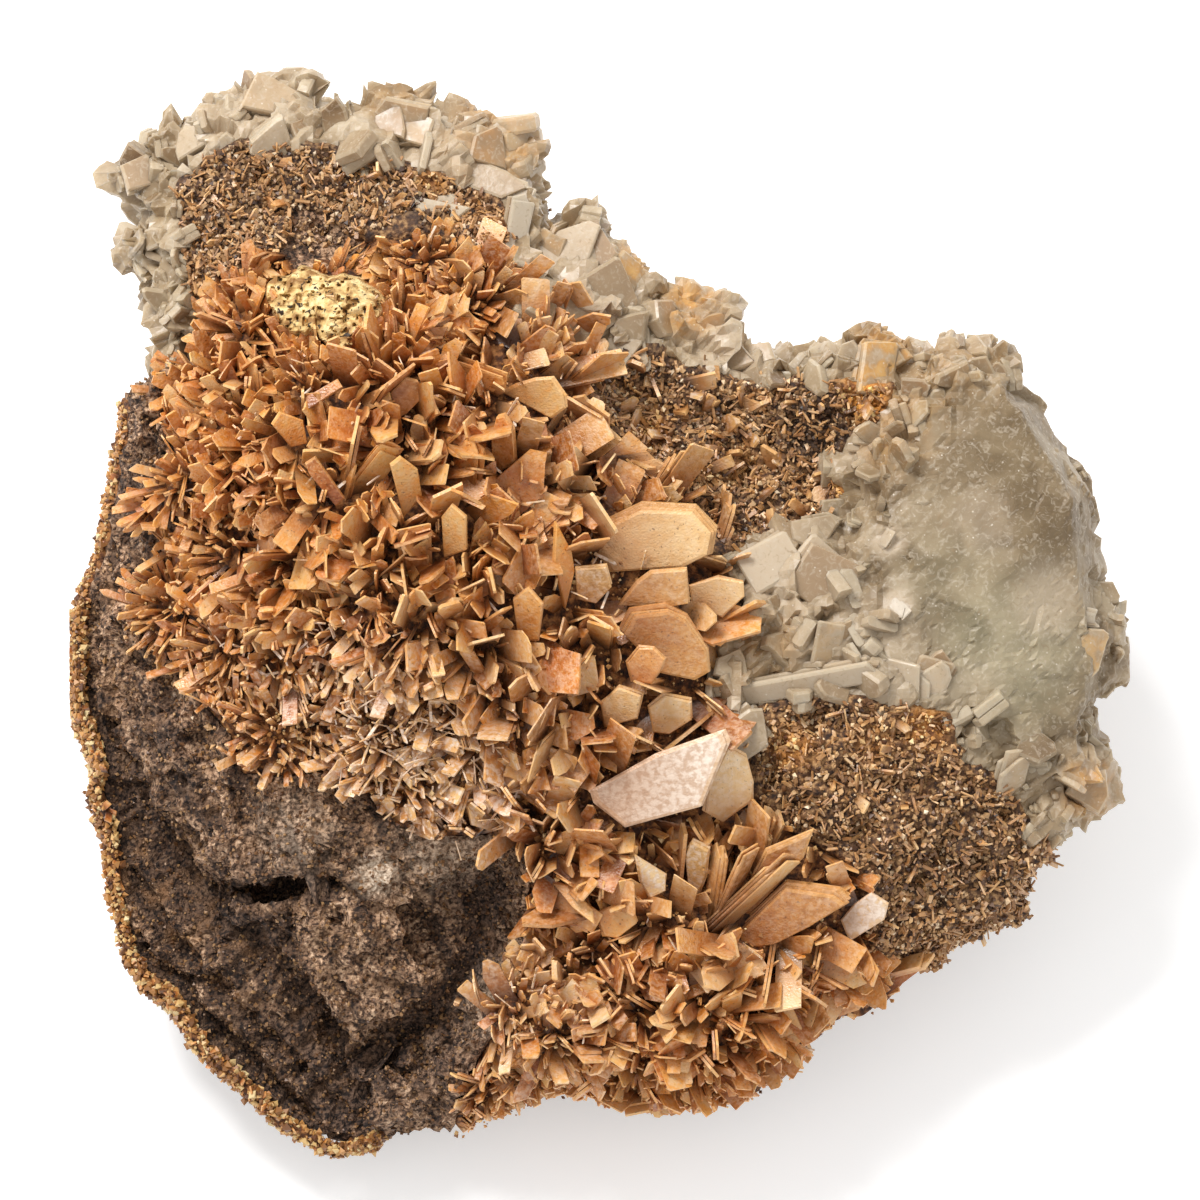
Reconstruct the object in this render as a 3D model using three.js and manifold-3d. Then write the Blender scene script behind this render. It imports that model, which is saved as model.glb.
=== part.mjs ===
// Bladed brown barite on its host rock: a hand-sized mineral specimen.
// A dome and an apron of standing brown barite blades grow on a lump of dark rock. A vein of
// massive, pale, see-through barite runs along the back edge and swells into a plate on the right.
// Sugary crusts of tiny brown crystals fill what lies between, and a thin crust of small blades
// wraps the left flank. The specimen rests on a small flat spot of the rock.
//
// Millimetres, +Z up. The crystal face is described on a plan of 1200 by 1200 units, x to the right
// and y downwards, which leans back from level by LEAN. A height stands at right angles to the plan.

import * as THREE from 'three';
import { mergeVertices } from 'three/addons/utils/BufferGeometryUtils.js';
import Module from 'manifold-3d';

const wasm = await Module();
wasm.setup();
const { Manifold, Mesh } = wasm;

// Driving dimensions
const WIDTH = 120; // across the specimen, left to right
const LEAN = THREE.MathUtils.degToRad(18); // the crystal face leans back by this
const SEAT = 28.5; // from the plan's middle down to the surface the specimen rests on
const RIM_ROUND = 7; // how far in from the edge the face has risen to its full height
const GAP = 0.3; // clearance between pieces that touch
const FINEST = 0.03; // no edge is kept that carries less detail than this
const COARSE = 0.12; // the same for the plain surfaces that the crystals stand on
const CRUST_DEPTH = 3; // thickness of the blade bed and of the sugary crusts
const VEIN_DEPTH = 13; // thickness of the pale barite vein
const FLANK_DEPTH = 7; // how far down the flank the thin crust reaches
const FLANK_WIDTH = 1.5; // how far in from the edge it shows
const FLANK_START = [384, 1131]; // it runs from this point of the outline round to the ear
const PAST_EDGE = 1; // no small blade leans further than this over the edge

// The plan
const PLAN_MIDDLE = 600;
const PLAN_SPAN = 1048; // units across the outline
const UNIT = WIDTH / PLAN_SPAN;
const CORE = [520, 620]; // every point of the outline is in sight from here
const outwards = new THREE.Vector3(0, -Math.sin(LEAN), Math.cos(LEAN)); // away from the plan

// The outline of the specimen on the plan, clockwise from the small ear on the left
const OUTLINE = [
  // pale corner at the top left
  [133, 380], [158, 381], [160, 340], [148, 292], [136, 246], [147, 230], [128, 180], [137, 155],
  [161, 146], [174, 130], [213, 118], [223, 98], [262, 91], [275, 76], [298, 90], [336, 117],
  // back edge, down to the notch
  [352, 110], [405, 105], [414, 119], [458, 119], [466, 135], [500, 128], [533, 156],
  [542, 197], [546, 222], [580, 224], [595, 217], [608, 228], [606, 246], [642, 275], [660, 304],
  [690, 301], [716, 302], [745, 340], [768, 358], [800, 371],
  // pale plate on the right
  [833, 345], [863, 332], [900, 356], [948, 351], [980, 358], [1003, 379], [1040, 402],
  [1058, 440], [1095, 496], [1102, 520], [1097, 552], [1112, 618], [1114, 668], [1098, 706],
  [1094, 757], [1102, 785], [1098, 808],
  // front edge
  [1027, 863], [1017, 918], [935, 958], [896, 972], [880, 1001], [817, 1021], [804, 1063],
  [749, 1098], [663, 1113], [560, 1090], [439, 1137], [421, 1125], [384, 1131],
  // dark rock, back up the left flank
  [378, 1148], [331, 1159], [285, 1133], [247, 1097], [196, 1052], [166, 999], [140, 987],
  [123, 957], [110, 900], [103, 829], [88, 791], [95, 772], [70, 705], [72, 615], [98, 545],
  [113, 465], [121, 430], [122, 398],
];

// Heights of the face above the rim: x, y, millimetres
const FACE_HEIGHTS = [
  // the dome of blades
  [330, 300, 23], [400, 410, 27], [330, 480, 26], [450, 520, 27], [400, 600, 25], [300, 600, 22],
  [220, 560, 17], [235, 420, 20], [520, 450, 23], [560, 560, 21], [500, 650, 22], [430, 700, 21],
  [185, 420, 12], [150, 600, 11], [520, 320, 17], [440, 270, 16], [250, 300, 14], [600, 480, 17],
  // pale corner, wing and back edge
  [250, 190, 9], [380, 200, 9], [320, 225, 9], [450, 200, 8], [275, 120, 8], [170, 180, 7],
  [420, 140, 9], [505, 175, 10], [180, 300, 8], [560, 260, 10], [620, 330, 11], [700, 340, 9],
  // hollow behind the plate
  [640, 400, 7], [700, 430, 8], [780, 430, 5], [665, 475, 9], [740, 500, 9], [815, 470, 6],
  // pale plate and the knobbly ground beside it
  [850, 375, 10], [900, 450, 14], [1000, 450, 14], [1000, 580, 16], [1060, 600, 13],
  [900, 560, 15], [960, 680, 15], [1040, 720, 12], [800, 600, 16], [850, 660, 16], [765, 570, 14],
  // large crystals, the pit below them and the apron
  [650, 540, 18], [650, 630, 18], [690, 690, 16], [640, 760, 16], [700, 870, 7], [720, 800, 12],
  [620, 870, 15], [600, 960, 15], [700, 985, 14], [650, 1050, 9], [770, 1010, 10], [800, 910, 11],
  [560, 900, 17], [560, 1000, 14], [560, 780, 19], [480, 780, 18], [410, 770, 17],
  // sugary ground at the right front
  [800, 760, 15], [860, 790, 16], [900, 860, 14], [960, 900, 9], [1000, 830, 9], [900, 940, 8],
  // dark rock
  [300, 780, 15], [200, 730, 12], [130, 700, 7], [230, 830, 13], [330, 850, 15], [430, 860, 14],
  [330, 960, 11], [420, 960, 8], [480, 930, 8], [470, 1030, 7], [380, 1060, 5], [240, 960, 7],
  [160, 850, 5], [300, 1060, 4], [120, 520, 5], [150, 900, 2],
];

// Depths of the underside below the rim: x, y, millimetres
const UNDERSIDE_DEPTHS = [
  [520, 620, 33], [350, 320, 34], [250, 200, 22], [450, 200, 24], [300, 520, 32], [170, 560, 20],
  [800, 550, 31], [950, 560, 20], [1040, 620, 14], [850, 400, 24], [640, 340, 32], [600, 900, 15],
  [300, 850, 14], [200, 900, 10], [480, 1050, 9], [850, 850, 15], [960, 800, 12], [700, 1030, 9],
];

// Planes on which the underside has broken: direction out of the rock on the plan, in degrees
// anticlockwise from the right, how far it faces down, in degrees, and distance from the core
const BREAKS = [
  [212, 56, 47], [176, 50, 44], [138, 46, 43], [98, 38, 44], [62, 46, 36], [30, 54, 35],
  [-8, 52, 43], [-42, 50, 49], [-78, 60, 47], [118, 64, 33],
];

// Ledges of the dark rock, each a sunken area of the face: how deep, and its outline
const LEDGES = [
  { sunk: 1.8, edge: [[60, 560], [108, 610], [150, 735], [205, 845], [250, 925], [318, 1010],
    [372, 1085], [392, 1170], [200, 1190], [30, 900]] },
  { sunk: 3.4, edge: [[398, 905], [432, 872], [470, 852], [520, 850], [514, 930], [492, 1010],
    [448, 1062], [398, 1078], [356, 1048], [372, 1020], [402, 1012], [436, 968], [400, 945]] },
];
// The open cleft across the rock: its two ends, width and depth
const CLEFT = { from: [205, 888], to: [335, 882], width: 2.4, depth: 7 };

// The parts of the face, each to the middle of the joint it shares with its neighbours
const VEIN = [
  [90, 372], [90, 60], [300, 20], [560, 60], [700, 220], [860, 270], [1100, 300], [1210, 600],
  [1210, 840], [1100, 880], [1050, 838], [1018, 812], [1000, 775], [950, 760], [945, 712],
  [880, 700], [830, 690], [760, 703], [745, 728], [722, 700], [720, 640], [745, 602],
  [733, 582], [712, 560], [760, 540], [820, 530], [845, 500], [835, 470], [850, 440],
  [880, 420], [890, 390], [800, 385], [740, 385], [690, 370], [650, 350], [590, 352],
  [570, 300], [540, 277], [500, 262], [520, 235], [500, 205], [450, 180], [400, 165],
  [350, 150], [300, 150], [250, 140], [215, 160], [182, 185], [185, 230], [200, 300],
  [183, 335], [178, 372],
];
const WING = [
  [182, 185], [215, 160], [250, 140], [300, 150], [350, 150], [400, 165], [450, 180],
  [500, 205], [520, 235], [500, 262], [465, 258], [440, 238], [395, 245], [345, 238],
  [300, 245], [265, 262], [225, 285], [200, 300], [185, 230],
];
const HOLLOW = [
  [590, 352], [650, 350], [690, 370], [740, 385], [800, 385], [890, 390], [880, 420],
  [850, 440], [835, 470], [845, 500], [820, 530], [760, 540], [712, 560], [700, 515],
  [675, 490], [640, 455], [600, 430], [578, 405],
];
const FRONT_GROUND = [
  [760, 703], [830, 690], [880, 700], [945, 712], [950, 760], [1000, 775], [1018, 812],
  [1050, 838], [1100, 880], [1080, 990], [960, 1040], [905, 985], [870, 955], [868, 915],
  [850, 860], [800, 832], [755, 805], [748, 760], [745, 728],
];
const BLADE_BED = [
  [225, 285], [265, 262], [300, 245], [345, 238], [395, 245], [440, 238], [465, 258],
  [500, 262], [540, 277], [570, 300], [590, 352], [578, 405], [600, 430], [640, 455],
  [675, 490], [700, 515], [712, 560], [733, 582], [745, 602], [720, 640], [722, 700],
  [745, 728], [748, 760], [755, 805], [800, 832], [850, 860], [868, 915], [870, 955],
  [905, 985], [960, 1040], [860, 1110], [760, 1160], [600, 1180], [445, 1170], [462, 1085],
  [475, 1060], [500, 1020], [525, 960], [532, 900], [530, 838], [490, 832], [430, 835],
  [385, 815], [375, 795], [330, 768], [290, 775], [240, 770], [235, 735], [205, 700],
  [190, 665], [150, 645], [128, 600], [165, 560], [190, 515], [185, 470], [168, 430],
  [165, 395], [178, 372], [183, 335], [200, 300],
];

// The large crystals of the blade bed: root and tip on the plan, width, thickness, how far root
// and tip stand off the face, and the roll about their length in degrees
const LARGE_CRYSTALS = [
  { root: [597, 545], tip: [710, 538], width: 6.4, thick: 3.2, lift: [0.5, 3.5], roll: -8 }, // block
  { root: [604, 622], tip: [706, 672], width: 8.4, thick: 1.6, lift: [0.4, 2.2], roll: 12 },
  { root: [622, 590], tip: [690, 604], width: 6.2, thick: 1.5, lift: [0.6, 2.6], roll: -15 },
  { root: [690, 600], tip: [744, 622], width: 5.6, thick: 1.4, lift: [0.4, 1.4], roll: 20 },
  { root: [593, 808], tip: [724, 742], width: 6.2, thick: 1.8, lift: [2.0, 4.5], roll: 24 }, // pink
  { root: [712, 822], tip: [736, 742], width: 5.6, thick: 1.3, lift: [3.0, 5.0], roll: -18 },
  { root: [702, 934], tip: [808, 838], width: 3.6, thick: 1.5, lift: [0.5, 6.0], roll: 42 }, // fan
  { root: [694, 946], tip: [842, 894], width: 5.4, thick: 1.6, lift: [0.5, 4.5], roll: 22 },
  { root: [704, 925], tip: [690, 834], width: 3.4, thick: 1.2, lift: [0.5, 6.0], roll: -38 },
  { root: [716, 918], tip: [752, 842], width: 3.0, thick: 1.1, lift: [0.5, 6.5], roll: 52 },
  { root: [640, 902], tip: [664, 848], width: 4.0, thick: 1.0, lift: [0.5, 3.0], roll: 14 },
  { root: [838, 932], tip: [886, 896], width: 4.6, thick: 1.1, lift: [1.0, 3.0], roll: -12 },
  { root: [538, 880], tip: [632, 930], width: 4.4, thick: 1.1, lift: [0.6, 2.6], roll: 18 },
  { root: [500, 352], tip: [540, 284], width: 5.6, thick: 1.6, lift: [0.5, 3.4], roll: -10 },
  { root: [438, 366], tip: [566, 420], width: 3.4, thick: 1.2, lift: [1.0, 3.0], roll: 34 },
  { root: [512, 496], tip: [508, 414], width: 3.4, thick: 1.2, lift: [0.5, 5.0], roll: -14 },
  { root: [562, 462], tip: [618, 428], width: 4.6, thick: 1.0, lift: [0.5, 3.4], roll: 26 },
  { root: [430, 470], tip: [402, 520], width: 4.6, thick: 1.0, lift: [0.5, 3.0], roll: 30 },
  { root: [300, 470], tip: [352, 532], width: 3.6, thick: 1.0, lift: [0.5, 3.0], roll: -26 },
  { root: [800, 1012], tip: [892, 984], width: 4.4, thick: 1.3, lift: [0.5, 1.0], roll: 12 },
];

// Crystals of the pale vein that break its edge: root and tip on the plan, width and height there
const EDGE_CRYSTALS = [
  { root: [290, 150], tip: [274, 72], width: 9, rise: 2 },
  { root: [240, 150], tip: [230, 92], width: 7, rise: 2 },
  { root: [190, 180], tip: [178, 122], width: 8, rise: 1 },
  { root: [170, 200], tip: [134, 150], width: 7, rise: 1 },
  { root: [180, 250], tip: [132, 240], width: 7, rise: 1 },
  { root: [340, 160], tip: [352, 104], width: 7, rise: 2 },
  { root: [400, 160], tip: [400, 100], width: 9, rise: 2 },
  { root: [450, 165], tip: [450, 112], width: 6, rise: 2 },
  { root: [490, 195], tip: [512, 124], width: 9, rise: 3 },
  { root: [575, 275], tip: [600, 212], width: 6, rise: 3 },
  { root: [600, 300], tip: [640, 262], width: 6, rise: 1 },
  { root: [690, 360], tip: [702, 296], width: 8, rise: 1 },
  { root: [870, 390], tip: [860, 330], width: 7, rise: 2 },
  { root: [960, 400], tip: [980, 350], width: 8, rise: 1 },
  { root: [1060, 620], tip: [1116, 612], width: 6, rise: 1 },
  { root: [1060, 660], tip: [1118, 668], width: 6, rise: 1 },
  { root: [1050, 780], tip: [1106, 784], width: 7, rise: 1 },
];

// Pseudo-random numbers from 0 to 1, the same on every run
function dice(seed) {
  let state = seed;
  return () => {
    state = (state * 1664525 + 1013904223) % 4294967296;
    return state / 4294967296;
  };
}

// A height field through scattered [x, y, height] points, each of which holds its neighbourhood
function blend(points, softness) {
  return (x, y) => {
    let sum = 0;
    let weights = 0;
    for (const [px, py, height] of points) {
      const weight = 1 / ((x - px) ** 2 + (y - py) ** 2 + softness ** 2) ** 2;
      sum += weight * height;
      weights += weight;
    }
    return sum / weights;
  };
}
const faceHeight = blend(FACE_HEIGHTS, 26);
const undersideDepth = blend(UNDERSIDE_DEPTHS, 70);

const fromCore = (x, y) => Math.hypot(x - CORE[0], y - CORE[1]);

// The distance from the core to the outline, in units, in the direction of a plan point
function reach(x, y) {
  const dx = x - CORE[0];
  const dy = y - CORE[1];
  for (let i = 0; i < OUTLINE.length; i++) {
    const [ax, ay] = OUTLINE[i];
    const [bx, by] = OUTLINE[(i + 1) % OUTLINE.length];
    const cross = dx * (by - ay) - dy * (bx - ax);
    const along = ((ax - CORE[0]) * (by - ay) - (ay - CORE[1]) * (bx - ax)) / cross;
    const share = ((ax - CORE[0]) * dy - (ay - CORE[1]) * dx) / cross;
    if (along > 0 && share >= 0 && share <= 1) return along * Math.hypot(dx, dy);
  }
  return Infinity;
}

// The rim rises and dips a little on its way round
function rimHeight(x, y) {
  const turn = Math.atan2(CORE[1] - y, x - CORE[0]);
  return 1.6 * Math.sin(2 * turn + 0.6) + 0.9 * Math.sin(5 * turn) + 0.5 * Math.sin(11 * turn);
}

// From 0 at the rim to 1 where the surface has reached its full height
function rise(x, y, round) {
  const fromRim = (reach(x, y) - fromCore(x, y)) * UNIT;
  const share = THREE.MathUtils.clamp(fromRim / round, 0, 1);
  return Math.sqrt(1 - (1 - share) ** 2);
}

function faceAt(x, y) {
  const rim = rimHeight(x, y);
  return rim + (faceHeight(x, y) - rim) * rise(x, y, RIM_ROUND);
}

function undersideAt(x, y) {
  return rimHeight(x, y) - undersideDepth(x, y) * rise(x, y, 3 * RIM_ROUND);
}

// A point of the plan with a height, in the specimen's own frame
function place(x, y, height) {
  const up = (PLAN_MIDDLE - y) * UNIT;
  return new THREE.Vector3(
    (x - PLAN_MIDDLE) * UNIT,
    up * Math.cos(LEAN) - height * Math.sin(LEAN),
    SEAT + up * Math.sin(LEAN) + height * Math.cos(LEAN),
  );
}

// The plan point above or below a point of the specimen
function planPoint({ x, y, z }) {
  const up = y * Math.cos(LEAN) + (z - SEAT) * Math.sin(LEAN);
  return [PLAN_MIDDLE + x / UNIT, PLAN_MIDDLE - up / UNIT];
}

// Solids and meshes
function solidFrom(positions, triangles) {
  return new Manifold(new Mesh({
    numProp: 3,
    vertProperties: new Float32Array(positions.flatMap((p) => [p.x, p.y, p.z])),
    triVerts: new Uint32Array(triangles.flat()),
  }));
}

function solidOf(geometry) {
  const bare = geometry.index ? geometry.toNonIndexed() : geometry.clone();
  bare.deleteAttribute('normal');
  bare.deleteAttribute('uv');
  const merged = mergeVertices(bare, 1e-4);
  return new Manifold(new Mesh({
    numProp: 3,
    vertProperties: new Float32Array(merged.attributes.position.array),
    triVerts: new Uint32Array(merged.index.array),
  }));
}

const joined = (solids) => solids.reduce((all, one) => all.add(one));

// The largest of a solid's separate bodies, with its shortest edges taken up
function mainBody(solid) {
  const bodies = solid.simplify(FINEST).decompose();
  return bodies.reduce((best, body) => (body.volume() > best.volume() ? body : best));
}

// A closed skin: rings of points from the core out to the rim, then back in below it. A ring
// takes some of the outline's points, and neighbouring rings are joined like the sides of a zip.
function skin(rings) {
  const points = [];
  const loops = rings.map(({ count, point }) => Array.from({ length: count }, (_, k) => {
    const pick = Math.floor((k * OUTLINE.length) / count);
    return { pick, at: points.push(point(pick)) - 1 };
  }));
  const triangles = [];
  for (let ring = 1; ring < loops.length; ring++) {
    const inner = loops[ring - 1];
    const outer = loops[ring];
    const next = (loop, k) => {
      if (loop.length === 1 || k >= loop.length) return Infinity;
      return k + 1 < loop.length ? loop[k + 1].pick : OUTLINE.length;
    };
    const at = (loop, k) => loop[k % loop.length].at;
    let i = 0;
    let j = 0;
    while (Number.isFinite(Math.min(next(inner, i), next(outer, j)))) {
      if (next(inner, i) <= next(outer, j)) {
        triangles.push([at(inner, i), at(inner, i + 1), at(outer, j)]);
        i++;
      } else {
        triangles.push([at(outer, j), at(inner, i), at(outer, j + 1)]);
        j++;
      }
    }
  }
  return solidFrom(points, triangles);
}

// The plan point a share of the way from the core to point i of the outline
function spoke(i, share) {
  const [x, y] = OUTLINE[i];
  return [CORE[0] + (x - CORE[0]) * share, CORE[1] + (y - CORE[1]) * share];
}

// Rings as [share of the way out, number of points]
const FULL = OUTLINE.length;
const HALF = FULL / 2;
const RIM = [1, FULL];
const FACE_RINGS = [
  [0, 1], [0.15, 9], [0.3, 18], [0.44, 28], [0.58, 28], [0.72, 28], [0.85, HALF], [0.95, HALF],
];
const UNDERSIDE_RINGS = [
  [0.975, HALF], [0.9, HALF], [0.75, 28], [0.5, 18], [0.25, 9], [0, 1],
];
const FLOOR_RINGS = [[0, 1], [0.3, 9], [0.6, 18], [0.85, HALF], RIM];

function ring([share, count], heightAt) {
  const point = (i) => {
    const [x, y] = spoke(i, share);
    return place(x, y, heightAt(x, y));
  };
  return { count, point };
}

function wholeLump() {
  return skin([
    ...FACE_RINGS.map((each) => ring(each, faceAt)),
    ring(RIM, rimHeight),
    ...UNDERSIDE_RINGS.map((each) => ring(each, undersideAt)),
  ]);
}

// Everything that lies more than depth below the face, wider and deeper than the specimen
function below(depth) {
  const FAR_DOWN = -80;
  const CLEAR = [1.12, HALF]; // a ring outside the rim
  const CENTRE = [0, 1];
  const rings = depth > 0 ? FLOOR_RINGS : [...FACE_RINGS, RIM];
  return skin([
    ...[...rings, CLEAR].map((each) => ring(each, (x, y) => faceAt(x, y) - depth)),
    ...[CLEAR, CENTRE].map((each) => ring(each, () => FAR_DOWN)),
  ]).simplify(COARSE);
}

// An outline moved outwards by a distance in millimetres, or inwards where it is negative
function offset(outline, distance) {
  const turns = THREE.ShapeUtils.area(outline.map(([x, y]) => new THREE.Vector2(x, y)));
  const sign = (Math.sign(turns) * distance) / UNIT;
  return outline.map(([x, y], i) => {
    const before = outline.at(i - 1);
    const after = outline[(i + 1) % outline.length];
    const a = new THREE.Vector2(y - before[1], before[0] - x).normalize();
    const b = new THREE.Vector2(after[1] - y, x - after[0]).normalize();
    const out = a.add(b).normalize();
    return [x + out.x * sign, y + out.y * sign];
  });
}

// Straight through the specimen, at right angles to the plan
function column(outline) {
  const DEPTH = 180;
  const onPlan = ([x, y]) => new THREE.Vector2((x - PLAN_MIDDLE) * UNIT, (PLAN_MIDDLE - y) * UNIT);
  const shape = new THREE.Shape(outline.map(onPlan));
  const geometry = new THREE.ExtrudeGeometry(shape, { depth: DEPTH, bevelEnabled: false });
  geometry.translate(0, 0, -DEPTH / 2);
  geometry.rotateX(LEAN);
  geometry.translate(0, 0, SEAT);
  return solidOf(geometry);
}

const lump = wholeLump().simplify(COARSE);

// The piece of the lump within an outline, down to a depth below the face
function layer(outline, depth) {
  return lump.intersect(column(offset(outline, -GAP / 2))).subtract(below(depth));
}

// The room that such a piece takes in its neighbours
function room(outline, depth) {
  const lower = below(depth).translate(outwards.clone().multiplyScalar(-GAP).toArray());
  return column(offset(outline, GAP / 2)).subtract(lower);
}

// The strip of plan along the left flank, from outside the outline to FLANK_WIDTH inside it
function flankStrip() {
  const OUTSIDE = 7;
  const first = OUTLINE.findIndex(([x, y]) => x === FLANK_START[0] && y === FLANK_START[1]);
  const spots = OUTLINE.slice(first);
  const moved = ([x, y], distance) => {
    const scale = 1 + distance / UNIT / fromCore(x, y);
    return [CORE[0] + (x - CORE[0]) * scale, CORE[1] + (y - CORE[1]) * scale];
  };
  const outer = spots.map((spot) => moved(spot, OUTSIDE));
  const inner = spots.map((spot) => moved(spot, -FLANK_WIDTH));
  return [...outer, ...inner.reverse()];
}

// A tabular crystal: a five-sided plate that stands on the origin and ends in a crooked roof
function plate(width, length, thick, grow = 0) {
  const half = width / 2 + grow;
  const top = length + grow;
  const shape = new THREE.Shape([
    new THREE.Vector2(-half, -grow), new THREE.Vector2(half, -grow),
    new THREE.Vector2(half, top - width * 0.35), new THREE.Vector2(half * 0.2, top),
    new THREE.Vector2(-half, top - width * 0.2),
  ]);
  const geometry = new THREE.ExtrudeGeometry(shape, { depth: thick + 2 * grow, bevelEnabled: false });
  return geometry.translate(0, 0, -thick / 2 - grow);
}

// Turns a crystal's length to one direction and its flat side, as far as it can, to another
function stand(geometry, root, along, flat) {
  const y = along.clone().normalize();
  const x = new THREE.Vector3().crossVectors(y, flat).normalize();
  const z = new THREE.Vector3().crossVectors(x, y);
  return geometry.applyMatrix4(new THREE.Matrix4().makeBasis(x, y, z).setPosition(root));
}

function surfaceNormal(x, y) {
  const STEP = 8;
  const a = place(x + STEP, y, faceAt(x + STEP, y)).sub(place(x - STEP, y, faceAt(x - STEP, y)));
  const b = place(x, y - STEP, faceAt(x, y - STEP)).sub(place(x, y + STEP, faceAt(x, y + STEP)));
  return a.cross(b).normalize();
}

// One of the large crystals
function largeCrystal({ root, tip, width, thick, lift, roll }, grow = 0) {
  const SUNK = 1.2;
  const from = place(...root, faceAt(...root) + lift[0] - SUNK);
  const to = place(...tip, faceAt(...tip) + lift[1]);
  const along = to.clone().sub(from);
  const turn = THREE.MathUtils.degToRad(roll);
  const flat = outwards.clone().applyAxisAngle(along.clone().normalize(), turn);
  return solidOf(stand(plate(width, along.length(), thick, grow), from, along, flat));
}

// One crystal of the vein's edge, thick and blunt
function edgeCrystal({ root, tip, width, rise: up }) {
  const SUNK = 2.5;
  const from = place(...root, faceAt(...root) - SUNK);
  const to = place(...tip, rimHeight(...tip) + up);
  const along = to.clone().sub(from);
  return solidOf(stand(plate(width, along.length(), width * 0.5), from, along, outwards));
}

function inside(outline, x, y) {
  let within = false;
  outline.forEach(([ax, ay], i) => {
    const [bx, by] = outline.at(i - 1);
    if (ay > y !== by > y && x < ((bx - ax) * (y - ay)) / (by - ay) + ax) within = !within;
  });
  return within;
}

// The small blades of the bed, on a loose triangular grid
function scatterBlades(outline, spacing, size, seed) {
  const random = dice(seed);
  const pitch = spacing / UNIT;
  const rowPitch = pitch * Math.sin(Math.PI / 3);
  const stray = () => (random() - 0.5) * pitch * 0.6;
  const blades = [];
  for (let row = 0; row * rowPitch < 2 * PLAN_MIDDLE; row++) {
    for (let x = (row % 2) * pitch * 0.5; x < 2 * PLAN_MIDDLE; x += pitch) {
      const at = [x + stray(), row * rowPitch + stray()];
      const tilt = 0.35 + random() * 0.7;
      const turn = random() * 2 * Math.PI;
      const spin = random() * Math.PI;
      const scale = size * (0.75 + random() * 0.5);
      if (!inside(outline, ...at) || fromCore(...at) > reach(...at)) continue;
      const normal = surfaceNormal(...at);
      const side = new THREE.Vector3(1, 0, 0).cross(normal).normalize().applyAxisAngle(normal, turn);
      const along = normal.clone().applyAxisAngle(side, tilt);
      const tip = planPoint(place(...at, faceAt(...at)).addScaledVector(along, scale));
      if (fromCore(...tip) > reach(...tip) + PAST_EDGE / UNIT) continue;
      const flat = side.applyAxisAngle(along, spin);
      blades.push({ at, along, flat, width: scale * 0.62, length: scale, thick: 0.16 * scale });
    }
  }
  return blades;
}

function smallBlade({ at, along, flat, width, length, thick }, grow = 0) {
  const SUNK = 1.4;
  const root = place(...at, faceAt(...at)).addScaledVector(along, -SUNK);
  return solidOf(stand(plate(width, length + SUNK, thick, grow), root, along, flat));
}

// The crystals that a bed carries, kept clear of everything outside the bed and below it
function grown(crystals, outline, depth) {
  const elsewhere = below(-GAP).subtract(column(offset(outline, -GAP / 2)));
  return joined(crystals).subtract(elsewhere).subtract(below(depth));
}

function cleft() {
  const { from, to, width, depth } = CLEFT;
  const a = place(...from, faceAt(...from) + 1);
  const b = place(...to, faceAt(...to) + 1);
  const along = b.clone().sub(a);
  const length = along.length();
  const shape = new THREE.Shape([
    new THREE.Vector2(-width / 2, 0), new THREE.Vector2(-width * 0.1, 0),
    new THREE.Vector2(width / 2, length * 0.35), new THREE.Vector2(width * 0.1, length),
    new THREE.Vector2(-width * 0.3, length * 0.5),
  ]);
  const geometry = new THREE.ExtrudeGeometry(shape, { depth: depth + 1, bevelEnabled: false });
  return solidOf(stand(geometry.translate(0, 0, -depth), a, along, outwards));
}

// The half-space beyond a broken plane, as a large block
function beyond([direction, down, distance]) {
  const SIZE = 300;
  const turn = THREE.MathUtils.degToRad(direction);
  const dip = THREE.MathUtils.degToRad(down);
  const level = Math.cos(dip);
  const out = new THREE.Vector3(Math.cos(turn) * level, Math.sin(turn) * level, -Math.sin(dip));
  const core = place(...CORE, 0);
  const upwards = new THREE.Vector3(0, 0, 1);
  const block = new THREE.BoxGeometry(SIZE, SIZE, SIZE).translate(0, 0, SIZE / 2);
  block.applyQuaternion(new THREE.Quaternion().setFromUnitVectors(upwards, out));
  return solidOf(block.translate(...core.addScaledVector(out, distance)));
}

// What lies below the surface the specimen rests on
function underSeat() {
  return solidOf(new THREE.BoxGeometry(400, 400, 100).translate(0, 0, -50));
}

// The pieces
const flank = flankStrip();
const rooms = joined([
  room(BLADE_BED, CRUST_DEPTH), room(VEIN, VEIN_DEPTH), room(WING, CRUST_DEPTH),
  room(HOLLOW, CRUST_DEPTH), room(FRONT_GROUND, CRUST_DEPTH), room(flank, FLANK_DEPTH),
]);
const ledges = joined(LEDGES.map(({ sunk, edge }) => column(edge).subtract(below(sunk))));
const rock = lump.subtract(rooms).subtract(ledges).subtract(cleft())
  .subtract(joined(BREAKS.map(beyond))).subtract(underSeat());

const BLADE_SPACING = 10.6;
const BLADE_LENGTH = 8.6;
const SEED = 7;
const scattered = scatterBlades(BLADE_BED, BLADE_SPACING, BLADE_LENGTH, SEED);
const bladesWith = (grow) => [
  ...LARGE_CRYSTALS.map((crystal) => largeCrystal(crystal, grow)),
  ...scattered.map((blade) => smallBlade(blade, grow)),
];
const bladeBed = layer(BLADE_BED, CRUST_DEPTH).subtract(ledges)
  .add(grown(bladesWith(0), BLADE_BED, CRUST_DEPTH));
const bladeSpace = joined(bladesWith(GAP));

const veinCrystals = grown(EDGE_CRYSTALS.map(edgeCrystal), VEIN, VEIN_DEPTH);
const vein = layer(VEIN, VEIN_DEPTH).add(veinCrystals.subtract(bladeSpace));
const flankCrust = lump.intersect(column(flank)).subtract(below(FLANK_DEPTH));

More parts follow.
